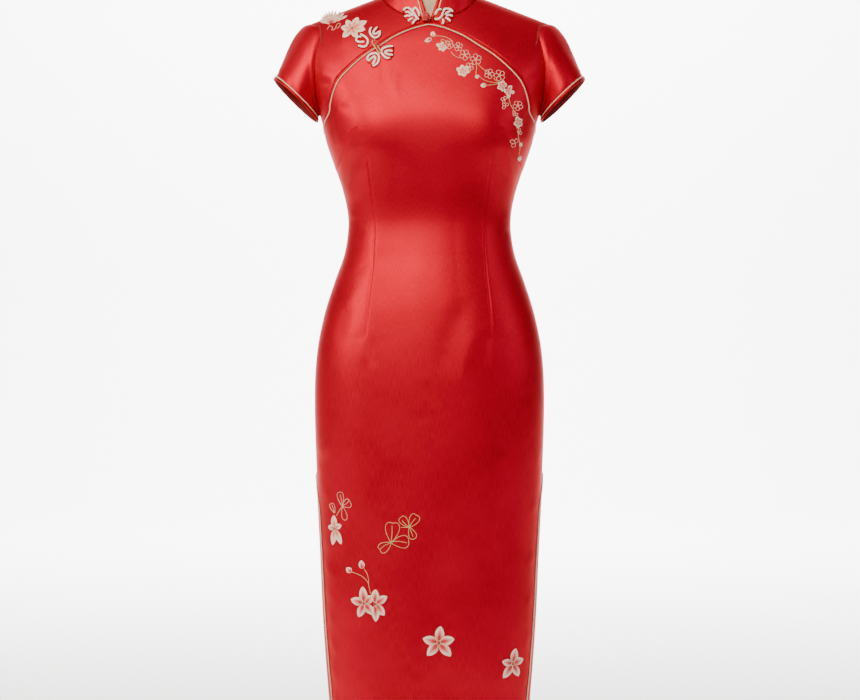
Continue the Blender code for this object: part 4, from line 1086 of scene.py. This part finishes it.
def frogSkin(x, height):  # the cloth just above and below, evened out under a stiff cord
    span = 7 * mm
    low, lowNormal = frontSkin(x, height - span)
    high, highNormal = frontSkin(x, height + span)
    return Vector((x, (low.y + high.y) / 2 - cut["seam"], height)), (lowNormal + highNormal).normalized()


def spotAt(px, py, skin=frontSkin):  # where the line of sight through a pixel meets the cloth
    centreX, centreY = camera["photoCentre"]
    y = -0.08
    for _ in range(4):
        scale = camera["metresPerPixel"] * (camera["distance"] + y) / camera["distance"]
        x, z = (px - centreX) * scale + camera["across"], camera["height"] + (centreY - py) * scale
        y = skin(x, z)[0].y
    return x, z


def onCloth(px, py, lift, skin=frontSkin):
    point, normal = skin(*spotAt(px, py, skin))
    return point + normal * lift


# Frog fastenings: cord along strokes of the photo's frame, over padded satin

frogCord = 1.55 * mm
padThick = 1.3 * mm
collarFrogs = {
    "collar_left": ((413.0, 16.5), 0.3 * mm, [
        [(404.2, 11.2), (405.6, 8.9), (408.4, 8.1), (411.0, 9.6), (413.0, 12.2), (414.8, 15.0)],
        [(405.6, 12.6), (408.6, 12.6), (411.4, 14.6), (413.4, 16.6)],
        [(404.7, 17.4), (407.6, 16.4), (411.0, 16.6)],
        [(408.6, 21.9), (410.6, 19.8), (413.2, 18.9)],
        [(416.8, 19.6), (414.9, 21.2), (413.6, 23.0), (412.8, 24.6)],
        [(413.3, 12.1), (415.0, 15.0), (416.6, 17.9), (419.1, 19.8)],
        [(413.8, 11.6), (414.0, 8.9), (415.9, 8.2), (417.6, 10.3), (419.1, 13.4), (419.3, 16.6)]]),
    "collar_right": ((443.0, 16.6), 0.3 * mm, [
        [(441.2, 9.8), (438.4, 9.8), (436.2, 12.0), (435.2, 15.4)],
        [(443.2, 12.4), (443.9, 9.8), (447.0, 8.9), (450.2, 9.8), (452.5, 12.4)],
        [(444.9, 15.2), (447.4, 12.9), (450.6, 11.6)],
        [(446.2, 16.4), (449.0, 15.7), (452.4, 16.6)],
        [(445.2, 18.0), (447.8, 19.5), (450.2, 22.0)],
        [(442.4, 19.6), (443.4, 22.0), (442.6, 24.6)],
        [(434.5, 19.6), (437.4, 19.7), (440.0, 18.4), (442.0, 15.8), (442.8, 12.9)]]),
}
lapelFrogs = {
    "lapel_upper_a": ((375.0, 34.4), 0.5 * mm, [
        [(372.0, 28.2), (370.4, 30.6), (370.3, 33.4), (371.9, 36.6), (375.0, 38.7), (378.3, 37.6),
         (380.2, 34.6), (380.1, 31.8)],
        [(377.4, 28.2), (375.4, 30.4), (373.8, 32.6), (374.6, 35.0), (377.0, 34.4), (379.2, 32.3)]]),
    "lapel_upper_b": ((362.6, 41.8), 0.3 * mm, [
        [(360.9, 35.0), (364.6, 37.0), (367.6, 39.8), (368.2, 43.2), (366.6, 46.4), (363.6, 47.5),
         (358.6, 46.3)],
        [(356.4, 39.6), (358.6, 37.6), (361.6, 37.8)],
        [(356.2, 40.6), (358.8, 42.6), (361.8, 42.9), (364.6, 42.3)]]),
    "lapel_lower_a": ((387.5, 52.8), 0.3 * mm, [
        [(393.0, 46.9), (389.8, 46.9), (386.2, 47.8), (382.6, 49.6), (381.7, 52.8), (383.8, 56.4),
         (387.0, 58.6), (390.0, 58.4)],
        [(392.8, 51.6), (389.6, 51.2), (386.6, 51.6), (385.4, 53.1), (387.6, 54.7), (390.4, 55.4),
         (393.1, 55.4)]]),
    "lapel_lower_b": ((373.6, 59.8), 0.3 * mm, [
        [(367.4, 60.8), (368.0, 58.0), (370.2, 55.2), (374.4, 53.8), (378.0, 54.9), (379.3, 58.4),
         (378.2, 62.8), (375.6, 65.4), (373.0, 66.6)],
        [(368.0, 61.6), (370.0, 60.2), (372.2, 58.6), (374.2, 57.0), (375.5, 58.6), (374.6, 61.8),
         (372.8, 65.0)]]),
}


def strokeOnCloth(points, lift, skin, count=14, arch=0.0):
    return [onCloth(px, py, lift + arch * math.sin(math.pi * k / (count - 1)), skin)
            for k, (px, py) in enumerate(evenLine(points, count))]


def frogEnds(t):  # cord ends are tucked under and look slightly pinched
    return min(1.0, 0.72 + 3.0 * min(t, 1 - t))


def padReach(centre, strokes, angle):
    best = 2.6
    for stroke in strokes:
        for px, py in stroke:
            dx, dy = px - centre[0], py - centre[1]
            reach = math.hypot(dx, dy)
            turned = math.cos(angle - math.atan2(dy, dx))
            if turned > 0:
                best = max(best, (reach + 1.1) * turned**2.5)
    return best


padSteps = 60


def addFrog(name, centre, lift, strokes):
    angles = [2 * math.pi * k / padSteps for k in range(padSteps)]
    reaches = [padReach(centre, strokes, angle) for angle in angles]
    soft = [(reaches[k - 1] + 2 * reaches[k] + reaches[(k + 1) % padSteps]) / 4 for k in range(padSteps)]

    def padPoint(u, v):
        k = int(round(u * padSteps)) % padSteps
        reach = soft[k] * v
        px, py = centre[0] + reach * math.cos(angles[k]), centre[1] + reach * math.sin(angles[k])
        dome = lift + padThick * (1 - v**3) ** 0.6 if v < 1 else 0.0
        return onCloth(px, py, dome - 0.2 * mm, frogSkin)
    title = "".join(word.title() for word in name.split("_"))
    behind = onCloth(centre[0], centre[1], 0, frogSkin)
    inwardOf["pad" + title] = (behind.x, behind.y + 0.05, behind.z)
    pad = clothPiece("pad" + title, padSteps, 6, padPoint, (0.05, 0.01), bindingSatin,
                     stands=["pad_" + name], thickness=0.3 * mm, ring=True)
    onPad = lift + padThick + 0.5 * frogCord
    paths = [(strokeOnCloth(stroke, onPad, frogSkin, 4 * len(stroke)), False) for stroke in strokes]
    cord = threadPiece("frog" + title, paths, frogCord, frogSilk,
                       stands=["frog_" + name], sidesCount=2, taper=frogEnds)


for name, (centre, lift, strokes) in (collarFrogs | lapelFrogs).items():
    addFrog(name, centre, lift, strokes)

# The knots: one cord wound round a ball, and a short barrel on the lapel
knotCord = silkCord("coralSatinCord", "#96101A", "#C42C24", 1.4, 0.42)
knot = {"axis": (0.5, -0.3, -0.85), "steps": 200, "cord": 1.3 * mm, "core": 1.5 * mm,
        "rounds": 3, "waves": 4, "waveHeight": 1.15, "weaves": 7, "weave": 0.35 * mm}


def ballKnot(name, spot, lift, stretch, radius, stands):
    point, normal = frogSkin(*spot)
    centre = point + normal * (lift + radius)
    turnTo = Vector((0, 0, 1)).rotation_difference(Vector(knot["axis"]))
    path = []
    for k in range(knot["steps"]):
        t = 2 * math.pi * k / knot["steps"]
        lon, lat = knot["rounds"] * t, knot["waveHeight"] * math.sin(knot["waves"] * t)
        r = radius - 1.25 * mm + knot["weave"] * math.sin(knot["weaves"] * t)
        at = Vector((math.cos(lat) * math.cos(lon), math.cos(lat) * math.sin(lon), math.sin(lat) * stretch))
        path.append(centre + turnTo @ (at * r))
    bm = bmesh.new()
    bmesh.ops.create_icosphere(bm, subdivisions=3, radius=radius - knot["core"])
    for vert in bm.verts:
        vert.co = centre + turnTo @ Vector((vert.co.x, vert.co.y, vert.co.z * stretch))
    core = addPiece(name + "Core", smoothMesh(bm, name + "Core"), knotCord, stands)
    wound = threadPiece(name, [(path, True)], knot["cord"], knotCord, stands=stands, sidesCount=2)


ballKnot("collarKnot", (-0.0050, 1.3760), -0.4 * mm, 1.0, 6.8 * mm, ["knot_collar"])
ballKnot("lapelKnot", (-0.0805, 1.3315), 0.4 * mm, 1.35, 5.2 * mm, ["knot_lapel"])
lapelLoops = (  # pixels of the photo's frame
    [(373.0, 41.4), (372.9, 44.4), (375.2, 48.8), (378.6, 53.2), (380.6, 54.6)],
    [(375.0, 41.0), (375.6, 43.8), (377.6, 47.4), (380.4, 51.6), (381.6, 53.2)])
loopPaths = [(strokeOnCloth(loop, 3.4 * mm, frogSkin, arch=4.5 * mm), False) for loop in lapelLoops]
threadPiece("lapelLoop", loopPaths, 0.9 * mm, goldThread, sidesCount=2)
print("frogs ready")

# Embroidery: floss petals and couched outlines, placed in the photo's frame

flowers = {  # centre, half width of a petal and petal tips, in pixels of the photo's frame
    "shoulderBloom": ((352.0, 28.3), 3.1, "cream", [
        (358.2, 17.4), (346.3, 20.3), (366.6, 21.2), (365.3, 29.3), (356.6, 37.6), (343.0, 37.6),
        (341.0, 27.7)]),
    "lapelBloom": ((463.0, 71.2), 2.3, "cream", [
        (456.4, 68.6), (461.6, 64.8), (468.6, 67.0), (469.8, 71.6), (464.6, 76.6), (458.4, 74.6)]),
    "lapelPink": ((502.4, 86.0), 2.1, "blush", [
        (497.6, 88.4), (498.2, 82.4), (503.0, 80.4), (506.6, 84.0), (503.0, 91.4)]),
    "lapelPinkLow": ((508.0, 89.6), 2.0, "blush", [
        (511.6, 86.0), (511.0, 91.6), (508.6, 96.8), (504.6, 92.6)]),
    "lapelFall": ((518.0, 122.2), 2.0, "blush", [
        (516.8, 116.4), (521.6, 119.0), (521.6, 125.8), (517.6, 128.0), (514.0, 124.6)]),
    "lapelFirst": ((442.8, 46.4), 1.9, "cream", [
        (436.2, 44.4), (438.8, 50.0), (443.4, 51.4), (446.8, 48.2), (441.6, 42.4)]),
    "skirtOrchid": ((334.6, 528.0), 2.7, "cream", [
        (333.6, 515.4), (328.4, 526.6), (341.2, 525.0), (332.8, 545.0), (341.2, 544.2)]),
    "skirtTwinLeft": ((364.2, 603.5), 3.9, "blush", [
        (362.5, 586.8), (350.8, 599.3), (358.6, 617.0), (374.0, 614.6), (372.8, 596.0)]),
    "skirtTwinRight": ((375.0, 604.0), 3.8, "blush", [
        (375.4, 589.4), (387.0, 596.4), (384.4, 615.2), (376.1, 621.5)]),
    "skirtStar": ((438.8, 642.8), 4.5, "blush", [
        (440.4, 626.4), (454.1, 638.8), (450.8, 656.0), (427.4, 655.6), (423.0, 638.7)]),
    "skirtSmallStar": ((512.9, 663.8), 3.5, "blush", [
        (515.5, 648.6), (522.8, 658.6), (518.4, 676.2), (503.3, 678.2), (502.3, 661.8)]),
}
buds = [  # root, tip, half width
    ((432.9, 36.4), (432.9, 31.6), 2.4, "cream"), ((431.4, 38.8), (424.8, 41.4), 2.1, "blush"),
    ((476.6, 74.6), (477.4, 78.6), 1.9, "cream"), ((486.0, 85.4), (480.6, 85.3), 2.1, "cream"),
    ((519.6, 155.6), (518.9, 161.0), 1.5, "cream"), ((513.6, 93.6), (511.6, 90.6), 1.5, "cream"),
    ((362.3, 568.4), (361.0, 560.6), 2.8, "blush"), ((351.2, 572.0), (346.2, 567.9), 2.7, "blush"),
    ((509.4, 93.0), (508.0, 98.4), 1.6, "blush"), ((519.8, 146.4), (521.0, 142.6), 1.4, "cream"),
]
stems = {
    "gold": [
        [(433.2, 36.4), (439.0, 36.0), (445.4, 37.0), (451.4, 40.2), (453.2, 43.4)],
        [(450.8, 51.6), (454.4, 55.6), (459.4, 58.0)], [(476.2, 62.4), (476.6, 68.0), (475.8, 74.0)],
        [(477.8, 63.6), (482.6, 68.6), (488.4, 72.6)],
        [(479.0, 75.8), (482.6, 79.0), (488.6, 81.6), (497.6, 82.9)],
        [(486.0, 85.3), (492.0, 84.8), (497.4, 83.8)], [(493.6, 78.1), (495.8, 80.4), (498.4, 83.0)],
        [(508.9, 97.5), (510.2, 104.0), (513.2, 109.6), (516.0, 114.6)],
        [(518.2, 129.0), (518.0, 135.6), (518.8, 141.8), (519.6, 147.4), (518.2, 155.4)],
        [(364.2, 568.6), (367.4, 574.4), (368.6, 580.0), (368.8, 585.4), (370.6, 593.4)],
        [(351.6, 572.0), (360.0, 575.2), (365.2, 578.8), (368.5, 583.6)],
        [(391.2, 541.4), (392.0, 533.0), (392.0, 525.6)],
        [(391.8, 541.6), (399.0, 541.4), (407.0, 542.8)],
        [(390.6, 543.0), (384.6, 545.6), (379.6, 549.6)],
        [(409.6, 527.0), (412.0, 522.6), (415.4, 518.4)],
        [(409.2, 527.2), (404.8, 523.6), (402.0, 520.4)],
        [(409.6, 527.6), (411.4, 532.4), (413.0, 536.6)],
        [(400.8, 527.6), (405.0, 527.4), (409.2, 527.6)],
    ],
    "blush": [
        [(342.4, 506.4), (339.4, 510.6), (336.8, 515.6)],
        [(342.6, 505.6), (341.6, 500.0), (340.4, 494.6)],
        [(343.0, 505.4), (346.6, 503.6), (349.2, 500.6)],
        [(334.6, 512.8), (333.2, 508.0), (332.2, 504.8)],
        [(327.2, 29.6), (329.6, 26.0), (332.8, 27.4), (331.6, 29.8), (334.6, 29.4), (336.4, 26.2)],
        [(336.4, 26.2), (337.2, 24.0), (340.4, 23.6), (339.2, 27.0), (336.8, 28.4)],
    ],
}
leafOutlines = {  # root, tip, half width, notch at the tip
    "gold": [((391.3, 542.2), (393.0, 521.2), 8.6, 0.10), ((391.5, 542.6), (409.4, 541.4), 7.6, 0.04),
             ((391.0, 542.8), (379.0, 550.6), 6.2, 0.10), ((409.4, 527.2), (417.2, 514.4), 6.0, 0.08),
             ((409.4, 527.6), (414.2, 539.0), 4.6, 0.0), ((409.2, 527.2), (400.2, 517.0), 4.8, 0.06),
             ((447.4, 42.2), (441.0, 40.2), 1.4, 0.0)],
    "blush": [((342.5, 505.8), (339.6, 491.6), 3.8, 0.05), ((342.7, 506.0), (350.8, 502.0), 5.4, 0.04),
              ((342.7, 507.0), (345.3, 520.2), 3.2, 0.0), ((334.8, 513.0), (331.2, 503.0), 2.9, 0.08)],
}
outlineBlossoms = [  # centre, radius, petals, turn
    ((449.2, 44.8), 4.2, 5, 0.3), ((458.2, 46.8), 4.4, 5, 0.9), ((464.8, 55.0), 5.2, 5, 0.2),
    ((476.0, 59.4), 5.4, 5, 0.8), ((469.4, 67.0), 4.2, 5, 0.5), ((489.2, 73.8), 4.8, 5, 0.1),
    ((499.6, 75.4), 5.4, 5, 0.6), ((504.4, 99.8), 3.4, 3, 1.9), ((505.4, 106.0), 3.6, 3, 2.4),
    ((517.8, 105.6), 4.8, 5, 0.4), ((515.2, 113.2), 3.0, 3, 0.7), ((519.8, 131.2), 3.0, 3, 1.2),
    ((514.6, 143.0), 4.6, 3, 2.1),
]

def petalWidth(t, pointed=0.9):
    return max(math.sin(math.pi * min(t, 1.0) ** pointed), 0.0) ** 0.75


def besideStem(root, tip, along, across):  # a spot beside the line from root to tip
    dx, dy = tip[0] - root[0], tip[1] - root[1]
    length = math.hypot(dx, dy)
    return root[0] + dx * along - dy / length * across, root[1] + dy * along + dx / length * across


def petalSpot(root, tip, halfWidth, along, edge):
    return besideStem(root, tip, along, edge * halfWidth * petalWidth(0.02 + 0.96 * along, 0.85))


def addPetal(bm, uvLayer, root, tip, halfWidth, lift, rise=0.55 * mm):
    made = bmesh.ops.create_grid(bm, x_segments=8, y_segments=4, size=0.5)["verts"]
    faces = {face for vert in made for face in vert.link_faces}
    for face in faces:
        for loop in face.loops:
            loop[uvLayer].uv = (loop.vert.co.x + 0.5, loop.vert.co.y + 0.5)
    for vert in made:
        u, v = vert.co.x + 0.5, vert.co.y * 2
        dome = rise * (1 - v * v) * petalWidth(0.1 + 0.8 * u)
        vert.co = onCloth(*petalSpot(root, tip, halfWidth, u, v), lift + dome)
    if sum(face.normal.y for face in faces if not face.normal_update()) > 0:
        bmesh.ops.reverse_faces(bm, faces=list(faces))


def petalRim(root, tip, halfWidth, lift):
    path = []
    for k in range(17):
        s = k / 16 * 2
        along, edge = (s, 1) if s <= 1 else (2 - s, -1)
        path.append(onCloth(*petalSpot(root, tip, halfWidth, along, edge), lift))
    return path


def leafRim(root, tip, halfWidth, notch):
    path = []
    for k in range(24):
        angle = 2 * math.pi * k / 24
        along = 0.5 - 0.5 * math.cos(angle)
        across = halfWidth * math.sin(angle) * (0.35 + 0.8 * along)
        if along > 0.6:
            along -= notch * math.exp(-((across / (0.35 * halfWidth)) ** 2))
        path.append(onCloth(*besideStem(root, tip, along, across), 0.35 * mm))
    return path


def towards(start, end, share):
    return tuple(a + (b - a) * share for a, b in zip(start, end))


petalSets = {"cream": [], "blush": []}
rimPaths = []
for centre, halfWidth, kind, tips in flowers.values():
    petalSets[kind] += [(towards(centre, tip, 0.12), tip, halfWidth) for tip in tips]
for root, tip, halfWidth, kind in buds:
    petalSets[kind].append((root, tip, halfWidth))
shoulderFan = {  # rows of narrow petals round a root: from and to in pixels, petals, shift and colour
    "root": (331.0, 23.4), "halfWidth": 1.15,
    "rows": ((1.0, 8.0, 8, 0.0, "blush"), (5.5, 13.0, 10, 0.3, "cream"), (10.0, 18.5, 11, 0.3, "cream")),
}
for first, last, count, shift, kind in shoulderFan["rows"]:
    for k in range(count):
        angle = math.radians(172 - 146 * (k + shift) / (count - 0.5))
        shrink = 0.60 + 0.40 * k / (count - 1)
        direction = (math.cos(angle), -math.sin(angle) * 0.86)
        root, tip = (tuple(at + way * reach * shrink for at, way in zip(shoulderFan["root"], direction))
                     for reach in (first, last))
        petalSets[kind].append((root, tip, shoulderFan["halfWidth"]))

layerStep = 0.12 * mm  # petals overlap in three layers
for kind, material in (("cream", creamFloss), ("blush", blushFloss)):
    bm = bmesh.new()
    uvLayer = bm.loops.layers.uv.new("UVMap")
    for k, (root, tip, halfWidth) in enumerate(petalSets[kind]):
        addPetal(bm, uvLayer, root, tip, halfWidth, 0.15 * mm + layerStep * (k % 3))
        if halfWidth > shoulderFan["halfWidth"]:
            rimPaths.append((petalRim(root, tip, halfWidth, 0.25 * mm + layerStep * (k % 3)), True))
    petals = addPiece(kind + "Petals", smoothMesh(bm, kind + "Petals"), material, None)
    giveWall(petals, 0.25 * mm)
threadPiece("petalRims", rimPaths, 0.36 * mm, creamRim, sidesCount=1)
for kind, material in (("gold", goldThread), ("blush", blushThread)):
    paths = [(strokeOnCloth(stem, 0.35 * mm, frontSkin, 4 * len(stem)), False) for stem in stems[kind]]
    paths += [(leafRim(*leaf), True) for leaf in leafOutlines[kind]]
    if kind == "blush":
        for centre, radius, count, turn in outlineBlossoms:
            for k in range(count):
                angle = turn + 2 * math.pi * k / (5 if count == 5 else 4)
                tip = (centre[0] + radius * math.cos(angle), centre[1] + radius * math.sin(angle))
                paths.append((leafRim(centre, tip, radius * 0.46, 0.0), True))
    threadPiece(kind + "Outlines", paths, 0.50 * mm, material, sidesCount=1)

beads = bmesh.new()
for px, py in [flower[0] for flower in flowers.values()]:
    for k in range(6):
        radius, angle = (0.0, 0.0) if k == 0 else (1.3, 1.3 * k)
        spot = onCloth(px + radius * math.cos(angle), py + radius * math.sin(angle), 0.8 * mm)
        made = bmesh.ops.create_icosphere(beads, subdivisions=1, radius=0.62 * mm)["verts"]
        bmesh.ops.translate(beads, vec=spot, verts=made)
addPiece("frenchKnots", smoothMesh(beads, "frenchKnots"), goldThread, None)
print("embroidery ready")

# Dress form: linen torso, seams, cap, pole and base

form = {"clearance": 3.8 * mm, "shoulderClearance": 0.8 * mm, "neckHalfWidth": 0.061, "neckHalfDepth": 0.047,
        "neckTaper": 0.05, "neckForward": 0.004, "fillet": 0.010, "armPlateX": 0.156, "armPlateSlope": 0.08,
        "bottom": 0.720, "top": 1.496, "neckFrom": 1.31, "taperFrom": 1.42, "neckJoin": 0.03,
        "columns": 192, "rows": 150}


def formDrop(x):
    seat = (cut["cloth"] + form["shoulderClearance"]) / math.cos(math.atan(cut["shoulderSlope"]))
    return seat + 0.005 * smoothStep((cut["neckHalfWidth"] + 0.018 - abs(x)) / 0.026)


def neckWidth(height):
    return form["neckHalfWidth"] - form["neckTaper"] * max(0.0, height - form["taperFrom"])


def formDepth(side, x, height):
    inset = cut["cloth"] + form["clearance"]
    halfWidth, frontDepth, backDepth, squareness = sectionAt(height)
    share = max(0.0, 1 - (abs(x) / (halfWidth - inset)) ** squareness)
    full = (frontDepth if side == front else backDepth) - inset
    torso = full * share ** (1 / squareness) * shoulderRoll(x, height, formDrop(x))
    if side == front:
        torso += bustRise(x, height) * min(1.0, 4 * share)
    neckShare = 1 - (x / neckWidth(height)) ** 2
    if height < form["neckFrom"] or neckShare <= 0:
        return torso
    neck = form["neckHalfDepth"] * math.sqrt(neckShare) - side * form["neckForward"]
    near = max(0.0, 1 - abs(torso - neck) / form["fillet"])
    return max(torso, neck) + form["fillet"] * near * near / 4


@lru_cache(maxsize=None)
def formReach(height):
    side = sectionAt(height)[0] - cut["cloth"] - form["clearance"]
    plate = form["armPlateX"] + max(0.0, height - cut["underarm"]) * form["armPlateSlope"]
    if height < shoulderHeight(plate) - formDrop(plate):
        return min(side, plate)
    if height >= shoulderHeight(form["neckJoin"]) - formDrop(form["neckJoin"]):
        return neckWidth(height)
    shoulder = solve(lambda x: shoulderHeight(x) - formDrop(x) - height, form["neckJoin"], plate)
    return max(shoulder, neckWidth(height))


def formPoint(u, v):
    height = blendAt(v, (0.0, 0.5, 0.9, 1.0), (form["bottom"], 1.20, 1.43, form["top"]))
    wide = formReach(round(height, 7))
    around = (u * 2) % 2
    side, t = (front, around) if around < 1 else (back, 2 - around)
    if u >= 1:
        side, t = front, 0.0
    x = wide * math.sin(quarter * (2 * t - 1))
    depth = formDepth(side, x * 0.9999, height)
    return Vector((x, side * max(depth, 1.2 * mm), height))


linenTorso = clothPiece("linenTorso", form["columns"], form["rows"], formPoint, (0.9, 0.78),
                        linenCover, stands=["form_body"], thickness=0, ring=True)
closing = bmesh.new()
closing.from_mesh(linenTorso.data)
bmesh.ops.holes_fill(closing, edges=[e for e in closing.edges if e.is_boundary], sides=0)
bmesh.ops.recalc_face_normals(closing, faces=closing.faces)
closing.to_mesh(linenTorso.data)
closing.free()
linenTorso.data.set_sharp_from_angle(angle=math.radians(50))

seamLow, seamSteps = 1.30, 40
seamHeights = [seamLow + (form["top"] - seamLow) * k / seamSteps for k in range(seamSteps + 1)]
centreSeam = [Vector((0, -formDepth(front, 0.0, z) - 0.15 * mm, z)) for z in seamHeights]
linenSeam = silkCord("linenSeam", "#A8967F", "#C9BAA6", 1.0, 0.8)
threadPiece("formSeams", [(centreSeam, False)], 0.45 * mm, linenSeam, sidesCount=1)
for node, material in (("form_cap", capWalnut), ("form_pole", standSteel), ("form_base", standSteel)):
    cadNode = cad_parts[node]
    cadNode = bpy.data.objects[cadNode] if isinstance(cadNode, str) else cadNode
    for cadSlot in cadNode.material_slots:
        cadSlot.material = material
print("form ready")

# Floor, light

stage = {"frontAt": 1.3, "backAt": 8.5, "bend": 1.5, "width": 16, "length": 17.0}
floorShape = bmesh.new()
bmesh.ops.create_grid(floorShape, x_segments=1, y_segments=40, size=0.5)
for vert in floorShape.verts:
    run = (vert.co.y + 0.5) * stage["length"]
    flatRun = stage["frontAt"] + stage["backAt"]
    y, z = run - stage["frontAt"], 0.0
    if run >= flatRun:  # the backdrop rises behind
        angle = min((run - flatRun) / stage["bend"], quarter)
        y = stage["backAt"] + stage["bend"] * math.sin(angle)
        z = stage["bend"] * (1 - math.cos(angle)) + max(0.0, run - flatRun - stage["bend"] * quarter)
    vert.co = (vert.co.x * stage["width"], y, z)
floor = bpy.data.objects.new("floor", smoothMesh(floorShape, "floor"))
bpy.context.scene.collection.objects.link(floor)
floor.data.materials.append(startMaterial("paleBackdrop", 0.9, {"Base Color": linear("#F4F4F3")})[0])

world = bpy.data.worlds.new("studio")
bpy.context.scene.world = world
world.use_nodes = True
world.node_tree.nodes["Background"].inputs["Color"].default_value = linear("#FFFFFF")
world.node_tree.nodes["Background"].inputs["Strength"].default_value = 0.29

warm, white = "#FFEBD0", "#FFFFFF"
softboxes = {  # place, what it shines at, width and height in metres, watts and colour
    "topLight": ((-0.9, -1.9, 3.6), (0, 0, 1.2), (2.0, 1.0), 48, warm),
    "keyLight": ((-0.5, -1.75, 1.98), (0, 0, 1.2), (1.6, 0.62), 34, warm),
    "sideLight": ((-2.7, -1.5, 2.1), (0, 0, 1.05), (0.8, 1.1), 48, warm),
    "fillLight": ((2.9, -1.2, 2.0), (0, 0, 1.1), (1.2, 1.4), 12, white),
    "frontLight": ((-0.5, -4.6, 1.9), (0, 0, 0.9), (1.6, 0.9), 10, warm),
    "backdropLight": ((0, 6.2, 5.0), (0, 10.0, 1.2), (8.0, 1.5), 2600, white),
    "floorLight": ((0, 3.6, 4.2), (0, 6.0, 0), (7.0, 1.2), 900, white),
    "rearLight": ((1.0, 3.4, 2.6), (0, 0, 1.0), (2.0, 1.0), 18, white),
}
for name, (place, target, size, watts, colour) in softboxes.items():
    light = bpy.data.lights.new(name, "AREA")
    light.shape, light.size, light.size_y = "RECTANGLE", size[0], size[1]
    light.energy, light.color = watts, linear(colour)[:3]
    lamp = bpy.data.objects.new(name, light)
    lamp.location = place
    lamp.rotation_euler = (Vector(target) - Vector(place)).to_track_quat("-Z", "Y").to_euler()
    lamp.visible_camera = False
    bpy.context.scene.collection.objects.link(lamp)
print("stage ready")

# A loop over the sleeves that does nothing


for sleevePiece, (label, sign) in zip(sleeves, sides):
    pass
